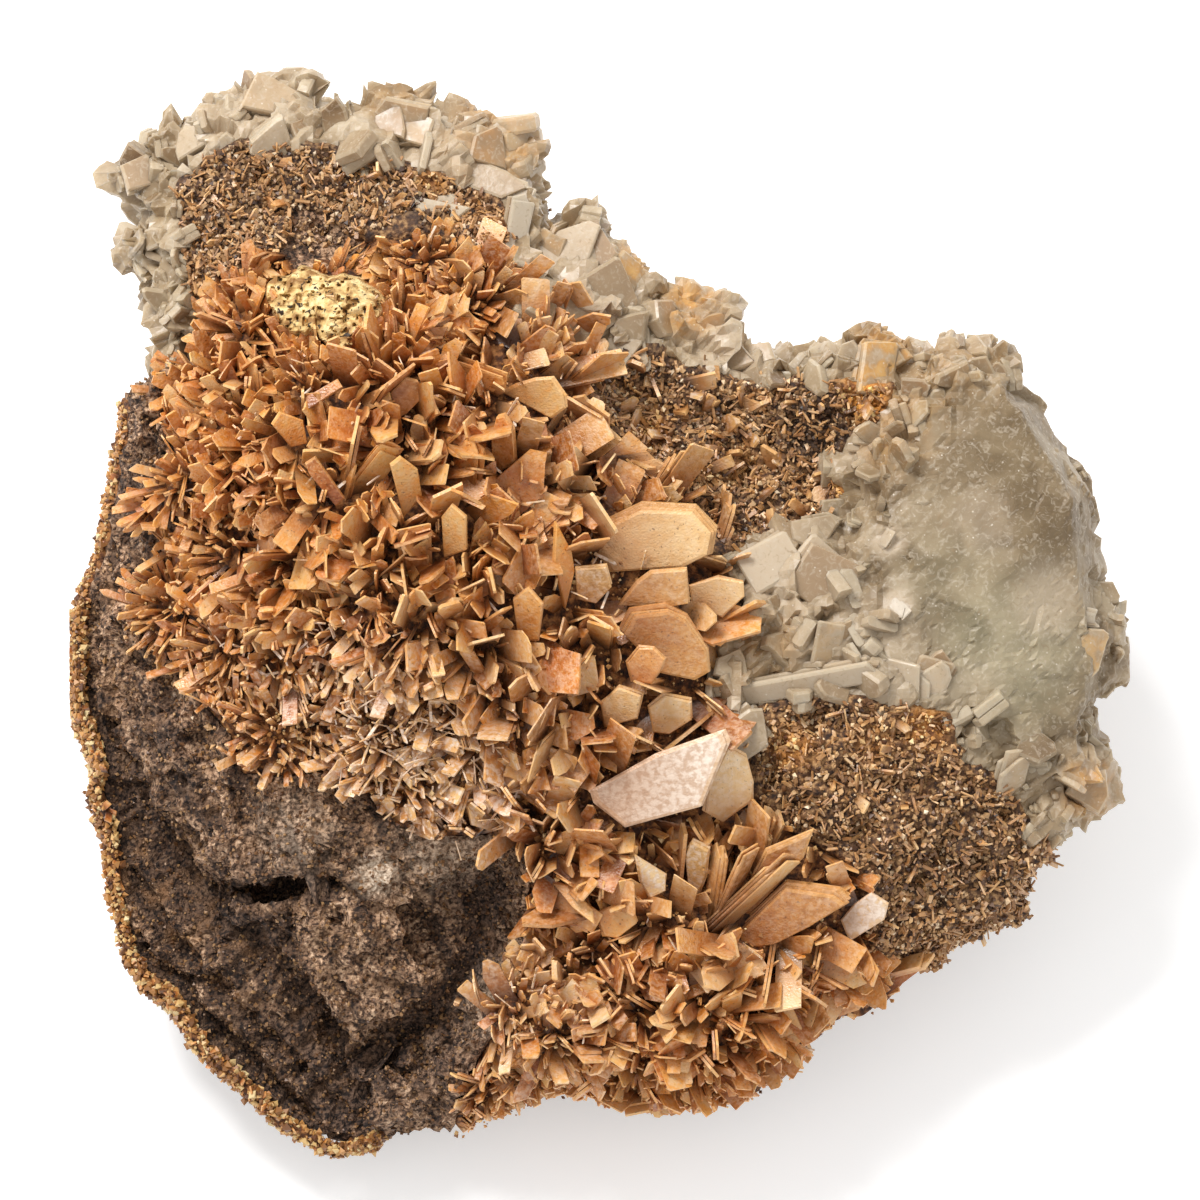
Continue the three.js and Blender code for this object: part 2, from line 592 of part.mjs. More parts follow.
const sugar = (outline) => layer(outline, CRUST_DEPTH);

const material = (color, roughness) => new THREE.MeshStandardMaterial({ color, roughness });
const rockBrown = material(0x5d4a3d, 0.9);
const bladeBrown = material(0xbd8247, 0.5);
const paleBarite = material(0xb3aa94, 0.3);
const sugarBrown = material(0x7c6244, 0.8);

function piece(name, solid, finish) {
  const { vertProperties, triVerts } = mainBody(solid).getMesh();
  const geometry = new THREE.BufferGeometry();
  geometry.setAttribute('position', new THREE.BufferAttribute(new Float32Array(vertProperties), 3));
  geometry.setIndex(new THREE.BufferAttribute(new Uint32Array(triVerts), 1));
  geometry.computeVertexNormals();
  const mesh = new THREE.Mesh(geometry, finish);
  mesh.name = name;
  return mesh;
}

const specimen = new THREE.Group();
specimen.add(
  piece('host_rock', rock, rockBrown),
  piece('brown_blade_crust', bladeBed, bladeBrown),
  piece('pale_barite_vein', vein, paleBarite),
  piece('wing_sugar_crust', sugar(WING), sugarBrown),
  piece('hollow_sugar_crust', sugar(HOLLOW), sugarBrown),
  piece('front_sugar_crust', sugar(FRONT_GROUND), sugarBrown),
  piece('flank_blade_crust', flankCrust, bladeBrown),
);
export default specimen;
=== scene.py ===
"""The looks of a bladed barite specimen: barite blades, pale cleavage, sugary grains and rough rock.

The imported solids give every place. Lengths are in millimetres until a mesh is made, in metres.
The crystal face is described on a plan of 1200 by 1200 units, x to the right and y downwards,
which leans back from level by LEAN. A height stands at right angles to the plan.
"""
import itertools
import math

import bpy
import numpy as np
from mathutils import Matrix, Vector
from mathutils.bvhtree import BVHTree


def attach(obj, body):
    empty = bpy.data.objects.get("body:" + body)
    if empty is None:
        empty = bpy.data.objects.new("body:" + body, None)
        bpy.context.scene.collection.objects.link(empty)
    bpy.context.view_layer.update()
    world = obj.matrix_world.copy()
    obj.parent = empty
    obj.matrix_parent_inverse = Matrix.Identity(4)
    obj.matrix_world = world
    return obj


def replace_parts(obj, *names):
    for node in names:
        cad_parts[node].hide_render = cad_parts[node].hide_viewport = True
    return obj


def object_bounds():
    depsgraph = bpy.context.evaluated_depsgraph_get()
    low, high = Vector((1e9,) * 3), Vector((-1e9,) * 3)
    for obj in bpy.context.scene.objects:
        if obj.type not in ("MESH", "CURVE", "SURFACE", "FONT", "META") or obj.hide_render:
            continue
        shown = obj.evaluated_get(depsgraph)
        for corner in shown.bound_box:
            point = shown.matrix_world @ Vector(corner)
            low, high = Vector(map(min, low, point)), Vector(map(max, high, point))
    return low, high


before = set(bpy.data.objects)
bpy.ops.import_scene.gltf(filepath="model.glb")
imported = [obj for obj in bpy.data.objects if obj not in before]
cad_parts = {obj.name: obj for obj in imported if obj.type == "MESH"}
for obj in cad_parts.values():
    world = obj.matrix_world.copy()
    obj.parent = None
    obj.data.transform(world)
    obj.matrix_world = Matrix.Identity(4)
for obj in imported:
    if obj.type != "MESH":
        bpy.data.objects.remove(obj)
cad_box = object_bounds()
scene = bpy.context.scene

MM = 0.001  # metres
PLAN_MIDDLE = 600
UNIT = 120 / 1048  # millimetres to one unit of the plan
LEAN = math.radians(18)
SEAT = 28.5  # from the surface the specimen rests on up to the plan's middle
SIN, COS = math.sin(LEAN), math.cos(LEAN)
OUTWARDS = np.array([0, -SIN, COS])  # away from the plan
UPWARDS = np.array([0, COS, SIN])  # up the plan
BED_DEPTH = 3  # of the bed that the blades grow from
HIDDEN = 0.7  # a surface closer than this to another solid isn't seen
BARITE_IOR = 1.64
VOXEL, FINE_VOXEL = 0.7, 0.5  # of the skins over the solids

ROOT_BED = "brown_blade_crust"
SUGAR = {"wing": "wing_sugar_crust", "hollow": "hollow_sugar_crust", "front": "front_sugar_crust"}


# Places

def place(x, y, height=0.0):
    """The points at plan x, y and a height"""
    across = (np.asarray(x, float) - PLAN_MIDDLE) * UNIT
    up = (PLAN_MIDDLE - np.asarray(y, float)) * UNIT
    return np.stack([across, up * COS - height * SIN, SEAT + up * SIN + height * COS], axis=-1)


def plan_of(points):
    """Plan x, plan y and height of points"""
    up = points[..., 1] * COS + (points[..., 2] - SEAT) * SIN
    height = (points[..., 2] - SEAT) * COS - points[..., 1] * SIN
    return points[..., 0] / UNIT + PLAN_MIDDLE, PLAN_MIDDLE - up / UNIT, height


def unit(vectors):
    return vectors / np.maximum(np.linalg.norm(vectors, axis=-1, keepdims=True), 1e-12)


def zone(points, blobs):
    """How far points lie in round zones of the plan, from 0 to 1: blobs are x, y, radius, strength"""
    x, y, _ = plan_of(points)
    total = np.zeros(len(points))
    for blob_x, blob_y, radius, strength in blobs:
        near = ((x - blob_x) ** 2 + (y - blob_y) ** 2) / radius ** 2
        total = np.maximum(total, strength * np.exp(-near ** 2))
    return total


# Seeded randomness that depends on place only

LOW_BITS = np.uint64(0xFFFFFFFF)


def scramble(cells, seed):
    """A number from 0 to 1 for each whole-numbered cell"""
    mixed = np.full(cells.shape[:-1], 374761393 * (seed + 1), dtype=np.uint64)
    for axis, prime in enumerate((2654435761, 2246822519, 3266489917)):
        mixed ^= (cells[..., axis].astype(np.int64).astype(np.uint64) * np.uint64(prime)) & LOW_BITS
        for shift, factor in ((15, 2246822519), (13, 3266489917)):
            mixed = (mixed ^ (mixed >> np.uint64(shift))) * np.uint64(factor) & LOW_BITS
    return (mixed & np.uint64(0xFFFFFF)).astype(float) / 0xFFFFFF


def noise(points, size, seed):
    """Smooth noise from -1 to 1 over lengths of about size"""
    scaled = points / size
    cells = np.floor(scaled).astype(int)
    part = scaled - cells
    part = part * part * (3 - 2 * part)
    total = np.zeros(len(points))
    for corner in itertools.product((0, 1), repeat=3):
        weight = np.prod(np.where(corner, part, 1 - part), axis=1)
        total += weight * scramble(cells + np.array(corner), seed)
    return 2 * total - 1


def rough(points, size, seed, octaves=3):
    """Noise with finer noise on it"""
    return sum(noise(points, size / 2 ** k, seed + k) / 1.7 ** k for k in range(octaves))


def scattered_cells(points, size, seed):
    """From the nearest of many scattered centres to each point, and the cell of that centre"""
    home = np.floor(points / size).astype(int)
    nearest = np.full(len(points), np.inf)
    away, cells = np.zeros_like(points), np.zeros_like(home)
    for corner in itertools.product((-1, 0, 1), repeat=3):
        cell = home + np.array(corner)
        jitter = np.stack([scramble(cell, seed + k) for k in range(3)], axis=-1)
        reach = points - (cell + jitter) * size
        distance = (reach ** 2).sum(axis=1)
        near = distance < nearest
        away[near], cells[near] = reach[near], cell[near]
        nearest = np.minimum(nearest, distance)
    return away, cells


def facets(points, size, lean, seed):
    """Heights of flat tilted facets about size across, as on broken cleavage"""
    away, cells = scattered_cells(points, size, seed)
    tilt = np.stack([scramble(cells, seed + 3 + k) for k in range(3)], axis=-1) * 2 - 1
    step = scramble(cells, seed + 6) - 0.5
    return (away * tilt).sum(axis=1) * lean + step * size * 0.3


# Meshes

def solid(node):
    """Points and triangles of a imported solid"""
    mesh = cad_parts[node].data
    mesh.calc_loop_triangles()
    points = np.empty(len(mesh.vertices) * 3)
    mesh.vertices.foreach_get("co", points)
    triangles = np.empty(len(mesh.loop_triangles) * 3, int)
    mesh.loop_triangles.foreach_get("vertices", triangles)
    return points.reshape(-1, 3) / MM, triangles.reshape(-1, 3)


def tree_of(points, faces):
    return BVHTree.FromPolygons(points.tolist(), faces.tolist())


def fill(mesh, points, groups):
    """Fills a mesh with faces that come in arrays, one for each number of corners"""
    mesh.vertices.add(len(points))
    mesh.vertices.foreach_set("co", (points * MM).ravel())
    corners = np.concatenate([group.ravel() for group in groups])
    sizes = np.concatenate([np.full(len(group), group.shape[1]) for group in groups])
    mesh.loops.add(len(corners))
    mesh.loops.foreach_set("vertex_index", corners)
    mesh.polygons.add(len(sizes))
    mesh.polygons.foreach_set("loop_start", np.concatenate([[0], np.cumsum(sizes)[:-1]]))
    mesh.update(calc_edges=True)


def remeshed(points, faces, voxel):
    """An even skin of quads over a solid"""
    mesh = bpy.data.meshes.new("skin")
    fill(mesh, points, [faces])
    shape = bpy.data.objects.new("skin", mesh)
    scene.collection.objects.link(shape)
    remesh = shape.modifiers.new("skin", "REMESH")
    remesh.mode = "VOXEL"
    remesh.voxel_size = voxel * MM
    bpy.context.view_layer.update()
    skin = shape.evaluated_get(bpy.context.evaluated_depsgraph_get()).to_mesh()
    out = np.empty(len(skin.vertices) * 3)
    skin.vertices.foreach_get("co", out)
    quads = np.empty(len(skin.loops), int)
    skin.loops.foreach_get("vertex_index", quads)
    bpy.data.objects.remove(shape)
    bpy.data.meshes.remove(mesh)
    return out.reshape(-1, 3) / MM, quads.reshape(-1, 4)


def normals_of(points, faces):
    """A normal at each point"""
    across = np.cross(points[faces[:, 2]] - points[faces[:, 0]],
                      points[faces[:, -1]] - points[faces[:, 1]])
    normals = np.zeros_like(points)
    for corner in range(faces.shape[1]):
        np.add.at(normals, faces[:, corner], across)
    return unit(normals)


def piece(name, points, groups, tones, material, slot, smooth=False):
    """A visible piece, kept inside the solids' box; a tone has one value for each point or face"""
    low, high = (np.array(corner) / MM for corner in cad_box)
    mesh = bpy.data.meshes.new(name)
    fill(mesh, np.clip(points, low, high), groups)
    mesh.polygons.foreach_set("use_smooth", np.full(len(mesh.polygons), smooth))
    for tone, values in tones.items():
        domain = "FACE" if tone == "edge" else "POINT"
        mesh.attributes.new(tone, "FLOAT", domain).data.foreach_set("value", values)
    mesh.materials.append(material)
    made = bpy.data.objects.new(name, mesh)
    scene.collection.objects.link(made)
    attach(made, "root")
    return made


# Spreading things over a surface

def spots_on(points, faces, number, random):
    """Random spots on a skin of quads: places and smooth normals"""
    triangles = np.concatenate([faces[:, [0, 1, 2]], faces[:, [0, 2, 3]]])
    corners = points[triangles]
    areas = np.linalg.norm(np.cross(corners[:, 1] - corners[:, 0], corners[:, 2] - corners[:, 0]), axis=1)
    chosen = random.choice(len(triangles), number, p=areas / areas.sum())
    share = random.random((number, 2))
    over = share.sum(axis=1) > 1
    share[over] = 1 - share[over]
    weights = np.column_stack([1 - share.sum(axis=1), share])
    normals = normals_of(points, faces)
    at = (corners[chosen] * weights[..., None]).sum(axis=1)
    return at, unit((normals[triangles[chosen]] * weights[..., None]).sum(axis=1))


def thinned(at, spacing):
    """Which spots stay so that no two are closer than their spacing"""
    cell = float(spacing.max())
    grid = {}
    kept = []
    neighbours = list(itertools.product((-1, 0, 1), repeat=3))
    for index, (spot, gap) in enumerate(zip(at.tolist(), spacing.tolist())):
        home = tuple(int(value // cell) for value in spot)
        keys = ((home[0] + i, home[1] + j, home[2] + k) for i, j, k in neighbours)
        near = (other for key in keys for other in grid.get(key, ()))
        if all((spot[0] - x) ** 2 + (spot[1] - y) ** 2 + (spot[2] - z) ** 2 > gap * gap
               for x, y, z in near):
            grid.setdefault(home, []).append(spot)
            kept.append(index)
    return np.array(kept)


def clear_of(at, trees, distance):
    """Which spots are further than a distance from all the other solids"""
    return np.array([all(tree.find_nearest(spot, distance)[0] is None for tree in trees)
                     for spot in at.tolist()])


def picked(kept, *arrays):
    return [each[kept] for each in arrays]


ANY_WAY = -2  # less than the cosine of any angle


def scattered(skin, node, number, random, facing, chosen=None, gap=HIDDEN):
    """Random spots on a node's skin that are chosen and aren't under another solid

    The cosine of the angle between the surface's normal and OUTWARDS is above facing.
    """
    at, normals = spots_on(*skin, number, random)
    seen = normals @ OUTWARDS > facing
    if chosen:
        seen &= chosen(at)
    at, normals = picked(seen, at, normals)
    return picked(clear_of(at, others(node), gap), at, normals)


# Crystals

THIN = ((0, 0.5), (0, -0.5))
THICK = ((0.3, 0.5), (0, 0.3), (0, -0.3), (0.3, -0.5))


def crystals(root, along, flat, width, length, thick, random, rings=THIN, pointed=0.6):
    """Tabular crystals with square or pointed ends, all in one set of arrays

    Each has a ring of six corners for every inset in millimetres and share of its thickness.
    """
    number = len(root)
    half = width / 2
    sharp = random.random(number) < pointed
    slope = 0.4 * width * (random.random(number) - 0.5)
    middle = half * np.where(sharp, 1.3 * random.random(number) - 0.65, 0)
    blunt = half * np.where(sharp, 0.06 + 0.22 * random.random(number), 0.86)
    right, left = length - np.maximum(slope, 0), length - np.maximum(-slope, 0)
    drops = width * np.where(sharp, 0.12 + 0.7 * random.random((2, number)),
                             0.08 * random.random((2, number)))
    foot = half * (0.85 + 0.25 * random.random(number))
    none = np.zeros(number)
    outline = np.stack([
        np.stack([-foot, foot, half, middle + blunt, middle - blunt, -half], axis=1),
        np.stack([none, none, right - drops[0], right, left, left - drops[1]], axis=1),
    ], axis=2)
    centre = np.stack([none, length * 0.55], axis=1)[:, None]
    layers = []
    for inset, level in rings:
        cut = np.minimum(inset, width * 0.25)
        shrink = np.stack([1 - 2 * cut / width, 1 - cut / length], axis=1)[:, None]
        height = np.broadcast_to((thick * level)[:, None, None], (number, 6, 1))
        layers.append(np.concatenate([centre + (outline - centre) * shrink, height], axis=2))
    local = np.concatenate(layers, axis=1)
    side = unit(np.cross(along, flat))
    face = np.cross(side, along)
    points = (root[:, None] + local[..., :1] * side[:, None] + local[..., 1:2] * along[:, None]
              + local[..., 2:] * face[:, None])
    here = np.arange(6)
    after = (here + 1) % 6
    belts = np.concatenate([np.stack([here + 6, after + 6, after, here], axis=1) + 6 * layer
                            for layer in range(len(rings) - 1)])
    ends = np.stack([here, here[::-1] + 6 * (len(rings) - 1)])
    start = (np.arange(number) * 6 * len(rings))[:, None, None]
    faces = [(belts + start).reshape(-1, 4), (ends + start).reshape(-1, 6)]
    points = points.reshape(-1, 3)
    tones = {
        "rise": (local[..., 1] / length[:, None]).ravel(),
        "edge": np.repeat([1.0, 0.0], [len(each) for each in faces]),
        "dice": shared(random.random(number), points),
    }
    return points, faces, tones


def shared(values, points):
    """One value, or one for each crystal, given to all the points"""
    values = np.atleast_1d(values).astype(float)
    return np.repeat(values, len(points) // len(values))


def toned(made, **looks):
    """A piece's points, faces and tones with more tones"""
    points, _, tones = made
    tones.update({look: shared(values, points) for look, values in looks.items()})
    return made


def turned(vectors, axes, angles):
    """Vectors turned about axes at right angles to them"""
    return vectors * np.cos(angles)[:, None] + np.cross(axes, vectors) * np.sin(angles)[:, None]


def stood(normals, tilt, random):
    """Directions that lean from the normals by a tilt, and the way the flat side faces"""
    turn = random.random(len(normals)) * 2 * math.pi
    helper = np.where(np.abs(normals[:, :1]) > 0.8, [[0.0, 1.0, 0.0]], [[1.0, 0.0, 0.0]])
    lean = turned(unit(np.cross(normals, helper)), normals, turn)
    along = unit(normals * np.cos(tilt)[:, None] + lean * np.sin(tilt)[:, None])
    spin = random.random(len(normals)) * math.pi
    first = unit(np.cross(along, helper[:, [1, 2, 0]] + 0.1))
    return along, turned(first, along, spin)


# Rosettes: how ragged they are, how far their blades tilt and spin in radians, and where tilting ends
SPREAD, TILT, TILT_OUTWARDS, TILT_SPREAD, SPIN_SPREAD, FARTHEST = 0.12, 0.1, 1.5, 0.2, 0.75, 0.6


def fanned(at, normals, size, random, seed):
    """Directions of blades that fan out from rosettes, and the way the flat side faces"""
    number = len(at)
    away = scattered_cells(at, size, seed)[0] + SPREAD * size * random.normal(size=(number, 3))
    away -= normals * (away * normals).sum(axis=1, keepdims=True)
    reach = np.linalg.norm(away, axis=1) / size
    lean = unit(away)
    tilt = TILT + TILT_OUTWARDS * np.clip(reach, 0, FARTHEST) + TILT_SPREAD * random.normal(size=number)
    tilt = tilt[:, None]
    along = unit(normals * np.cos(tilt) + lean * np.sin(tilt))
    first = unit(lean - along * (lean * along).sum(axis=1, keepdims=True))
    return along, turned(first, along, SPIN_SPREAD * random.normal(size=number))


def grains(at, size, random):
    """Small crystals of eight faces, each turned its own way"""
    number = len(at)
    axes = np.linalg.qr(random.normal(size=(number, 3, 3)))[0]
    reach = size[:, None] * (0.6 + 0.8 * random.random((number, 6)))
    tips = np.concatenate([axes, -axes], axis=1) * reach[..., None] / 2
    corners = np.array([[0, 1, 2], [1, 3, 2], [3, 4, 2], [4, 0, 2],
                        [1, 0, 5], [3, 1, 5], [4, 3, 5], [0, 4, 5]])
    mirrored = np.linalg.det(axes) < 0
    faces = corners + (np.arange(number) * 6)[:, None, None]
    faces[mirrored] = faces[mirrored][..., ::-1]
    points = (at[:, None] + tips).reshape(-1, 3)
    return points, [faces.reshape(-1, 3)], {"dice": shared(random.random(number), points)}


# Materials

def srgb(red, green, blue):
    parts = (value / 255 for value in (red, green, blue))
    return [part / 12.92 if part < 0.04045 else ((part + 0.055) / 1.055) ** 2.4 for part in parts] + [1]


class Finish:
    """A material whose nodes are added one by one; colours are red, green and blue from 0 to 255"""

    def __init__(self, name):
        self.material = bpy.data.materials.new(name)
        self.material.use_nodes = True
        self.tree = self.material.node_tree
        self.surface = self.tree.nodes["Principled BSDF"]
        self.place = self.tree.nodes.new("ShaderNodeTexCoord").outputs["Object"]
        self.colour = None

    def put(self, socket, value):
        if isinstance(value, bpy.types.NodeSocket):
            self.tree.links.new(value, socket)
        else:
            socket.default_value = value

    def set(self, **values):
        """Sets the surface's sockets, whose names have spaces for underscores, and its colour"""
        if self.colour:
            self.put(self.surface.inputs["Base Color"], self.colour)
        for name, value in values.items():
            self.put(self.surface.inputs[name.replace("_", " ")], value)

    def tone(self, name):
        node = self.tree.nodes.new("ShaderNodeAttribute")
        node.attribute_name = name
        return node.outputs["Fac"]

    def noise(self, size, detail=4, warp=0.0):
        """Noise over lengths of about size in millimetres"""
        node = self.tree.nodes.new("ShaderNodeTexNoise")
        self.put(node.inputs["Vector"], self.place)
        node.inputs["Scale"].default_value = 1 / (size * MM)
        node.inputs["Detail"].default_value = detail
        node.inputs["Distortion"].default_value = warp
        return node.outputs["Fac"]

    def cells(self, size):
        """Distance from the middle of cells about size across"""
        node = self.tree.nodes.new("ShaderNodeTexVoronoi")
        self.put(node.inputs["Vector"], self.place)
        node.inputs["Scale"].default_value = 1 / (size * MM)
        return node.outputs["Distance"]

    def ramp(self, value, *stops):
        """A colour or number that follows value, from stops of position and colour or number"""
        node = self.tree.nodes.new("ShaderNodeValToRGB")
        while len(node.color_ramp.elements) < len(stops):
            node.color_ramp.elements.new(1)
        for element, (position, colour) in zip(node.color_ramp.elements, stops):
            element.position = position
            element.color = srgb(*colour) if isinstance(colour, tuple) else [colour] * 3 + [1]
        self.put(node.inputs["Fac"], value)
        return node.outputs["Color"]

    def mix(self, share, first, second, blend="MIX"):
        node = self.tree.nodes.new("ShaderNodeMix")
        node.data_type = "RGBA"
        node.blend_type = blend
        for socket, value in zip((node.inputs[0], node.inputs[6], node.inputs[7]), (share, first, second)):
            self.put(socket, srgb(*value) if isinstance(value, tuple) else value)
        return node.outputs[2]

    def base(self, value, *stops):
        """The first colour, which follows value"""
        self.colour = self.ramp(value, *stops)

    def over(self, share, colour, blend="MIX"):
        """Lays a colour over what is there"""
        self.colour = self.mix(share, self.colour, colour, blend)

    def edged(self, share, colour):
        """Lays a colour on the crystals' narrow edge faces: partly edge wear, partly a painted highlight"""
        self.over(self.ramp(self.tone("edge"), (0, 0), (1, share)), colour)

    def combined(self, first, second, operation="MULTIPLY"):
        node = self.tree.nodes.new("ShaderNodeMath")
        node.operation = operation
        node.use_clamp = True
        self.put(node.inputs[0], first)
        self.put(node.inputs[1], second)
        return node.outputs[0]

    def bump(self, height, distance, strength=1.0):
        """Bumps of a distance in millimetres"""
        node = self.tree.nodes.new("ShaderNodeBump")
        node.inputs["Distance"].default_value = distance * MM
        node.inputs["Strength"].default_value = strength
        self.put(node.inputs["Height"], height)
        self.set(Normal=node.outputs["Normal"])


def blade_finish():
    """Orange-tan blades, dusty, darker towards the root (partly their own colour, partly painted shade where
    the blades crowd), with pale edges that are partly wear and partly a painted highlight
    """
    made = Finish("brown_barite_blades")
    broad, patches, specks = made.noise(1.3, 4), made.noise(0.65, 3, 0.4), made.noise(0.34, 2)
    own = made.combined(made.combined(made.tone("dice"), 0.6), made.combined(broad, 0.7), "ADD")
    made.base(own, (0.3, (160, 88, 26)), (0.52, (204, 124, 44)), (0.75, (226, 154, 66)),
              (0.95, (222, 174, 104)))
    tan = made.ramp(own, (0.25, (166, 120, 68)), (0.55, (214, 168, 106)), (0.9, (238, 204, 152)))
    made.over(made.tone("tan"), tan)
    made.over(made.ramp(specks, (0.54, 0), (0.68, 0.45)), (226, 184, 130))
    made.over(made.ramp(specks, (0.28, 0.6), (0.36, 0)), (92, 50, 20))
    blotches = made.combined(made.tone("frost"), made.ramp(patches, (0.42, 0), (0.6, 1)))
    frost = made.combined(blotches, made.combined(made.tone("frost"), 1, "SUBTRACT"), "ADD")
    made.over(frost, made.ramp(patches, (0.38, (206, 176, 150)), (0.6, (236, 218, 200))))
    # pale edges: partly wear, partly a painted highlight
    made.edged(0.35, (232, 180, 112))
    # darker towards the root: partly the blades' own colour, partly painted shade where the blades crowd
    depth = made.ramp(made.tone("rise"), (0.1, (60, 26, 8)), (0.55, (208, 186, 170)), (0.95, 1))
    made.over(0.95, depth, "MULTIPLY")
    made.set(Roughness=made.ramp(broad, (0.3, 0.28), (0.7, 0.6)), IOR=BARITE_IOR)
    made.bump(made.noise(0.25, 1), 0.1, 0.8)
    return made.material


def cream_finish():
    """The worn cream crust, with dark pits"""
    made = Finish("worn_cream_crust")
    made.base(made.noise(1.6, 4), (0.38, (148, 106, 56)), (0.5, (208, 174, 112)), (0.62, (236, 212, 156)))
    made.over(made.ramp(made.noise(0.7, 3, 0.6), (0.36, 1), (0.41, 0)), (50, 34, 18))
    made.set(Roughness=0.6)
    made.bump(made.noise(0.3, 2), 0.15, 0.8)
    return made.material


def bed_finish():
    """The dark ground between the blades"""
    made = Finish("brown_barite_bed")
    made.base(made.noise(0.9, 3), (0.35, (38, 18, 8)), (0.5, (94, 54, 24)), (0.66, (166, 112, 62)))
    made.set(Roughness=0.85)
    made.bump(made.noise(0.4, 2), 0.3)
    return made.material


def pale_finish():
    """Massive barite, grey-white to beige, clear enough to let light in"""
    made = Finish("pale_barite")
    broad, middling, fine = made.noise(6, 3, 0.8), made.noise(2.2, 2), made.noise(0.8, 3, 1.5)
    made.base(broad, (0.32, (154, 134, 106)), (0.5, (186, 167, 139)), (0.68, (212, 198, 176)))
    brown = made.ramp(middling, (0.3, (196, 138, 68)), (0.7, (230, 184, 118)))
    made.over(made.combined(made.tone("brown"), made.ramp(middling, (0.4, 0.25), (0.55, 1))), brown)
    smooth = made.ramp(broad, (0.35, (124, 106, 78)), (0.65, (164, 147, 118)))
    made.over(made.tone("plate"), smooth)
    green = made.ramp(broad, (0.35, (164, 158, 132)), (0.65, (196, 188, 162)))
    made.over(made.tone("green"), green)
    made.over(made.tone("white"), (222, 206, 184))
    own = made.ramp(made.tone("dice"), (0, (168, 142, 110)), (0.4, (215, 203, 187)), (0.8, (231, 227, 221)))
    made.over(0.9, own, "MULTIPLY")
    flecks = made.ramp(made.cells(0.9), (0.06, 0.85), (0.14, 0))
    made.over(made.combined(flecks, made.ramp(middling, (0.46, 0), (0.56, 1))), (222, 212, 196))
    made.over(made.ramp(fine, (0.52, 0), (0.7, 0.45)), (200, 186, 166))
    made.over(made.ramp(fine, (0.28, 0.5), (0.4, 0)), (146, 122, 92))
    # pale edges: partly wear, partly a painted highlight
    made.edged(0.3, (200, 184, 158))
    dull = made.mix(made.tone("plate"), made.ramp(middling, (0.35, 0.3), (0.65, 0.5)), [0.5, 0.5, 0.5, 1])
    made.set(Roughness=dull, IOR=BARITE_IOR, Specular_IOR_Level=0.25, Transmission_Weight=0.06,
             Subsurface_Weight=0.3, Subsurface_Scale=2.4 * MM, Subsurface_Radius=(1, 0.85, 0.65))
    made.bump(made.noise(0.5, 2), 0.06, 0.6)
    return made.material


def sugar_finish():
    """The dark ground of the fine granular crusts"""
    made = Finish("sugary_barite")
    made.base(made.noise(0.7, 3), (0.36, (44, 24, 12)), (0.5, (106, 72, 42)), (0.64, (178, 138, 92)))
    ochre = made.ramp(made.noise(1.2, 2), (0.35, (126, 70, 20)), (0.6, (216, 142, 54)))
    made.over(made.tone("ochre"), ochre)
    # darker crust, and painted shade in the hollow between the blades and the pale vein
    made.over(made.tone("dark"), (62, 44, 34))
    made.set(Roughness=0.75)
    made.bump(made.noise(0.3, 2), 0.25)
    return made.material


def grain_finish():
    """Tiny crystals: beige, brown, ochre and dark ones side by side"""
    made = Finish("sugary_grains")
    made.base(made.tone("dice"), (0, (60, 32, 15)), (0.3, (128, 86, 48)),
              (0.6, (188, 144, 94)), (0.85, (222, 182, 132)), (1, (246, 224, 190)))
    ochre = made.ramp(made.tone("dice"), (0, (120, 64, 16)), (0.6, (224, 150, 56)), (1, (248, 218, 128)))
    made.over(made.tone("ochre"), ochre)
    # darker grains; in the hollow of the crust this is painted shade
    made.over(made.tone("dark"), (92, 74, 62), "MULTIPLY")
    made.set(Roughness=0.5, IOR=BARITE_IOR)
    return made.material


def rock_finish():
    """Dark brown-grey rock, mottled and grainy"""
    made = Finish("host_rock")
    broad, fine = made.noise(3.4, 4, 0.4), made.noise(0.5, 3)
    made.base(broad, (0.3, (136, 102, 76)), (0.5, (170, 134, 106)), (0.7, (206, 172, 142)))
    made.over(0.9, made.ramp(fine, (0.4, (62, 46, 35)), (0.52, 1)), "MULTIPLY")
    made.over(made.ramp(made.noise(0.5, 3, 0.6), (0.55, 0), (0.63, 0.9)), (224, 190, 156))
    # streaks along the grain, and painted shade in the ledges and clefts
    grain_streaks_and_shade = made.ramp(made.tone("grain_streak_and_shade"), (0.3, (110, 96, 86)), (0.6, (235, 228, 220)), (0.8, 1))
    made.over(0.9, grain_streaks_and_shade, "MULTIPLY")
    made.over(made.ramp(broad, (0.55, 0), (0.7, 0.35)), (160, 112, 68))
    made.over(made.tone("pale"), made.ramp(fine, (0.38, (160, 130, 102)), (0.6, (232, 212, 188))))
    # darker rock, and painted shade by the steep wall and in the clefts
    made.over(made.tone("dark"), made.ramp(fine, (0.42, (38, 26, 20)), (0.6, (124, 98, 82))))
    made.set(Roughness=0.88)
    made.bump(made.noise(0.45, 2), 0.7)
    return made.material


BLADES, CREAM, BED, PALE = blade_finish(), cream_finish(), bed_finish(), pale_finish()
CRUST, GRAINS, ROCK = sugar_finish(), grain_finish(), rock_finish()

# The camera and the light
CAMERA_DISTANCE = 900
SENSOR = 36
FRAME_WIDTH = 2 * PLAN_MIDDLE * UNIT
camera = bpy.data.objects.new("camera", bpy.data.cameras.new("camera"))
scene.collection.objects.link(camera)
camera.data.sensor_width = SENSOR
camera.data.lens = SENSOR * CAMERA_DISTANCE / FRAME_WIDTH
camera.data.clip_end = 10
camera.location = Vector(place(PLAN_MIDDLE, PLAN_MIDDLE, CAMERA_DISTANCE) * MM)
camera.rotation_euler = (LEAN, 0, 0)
scene.camera = camera

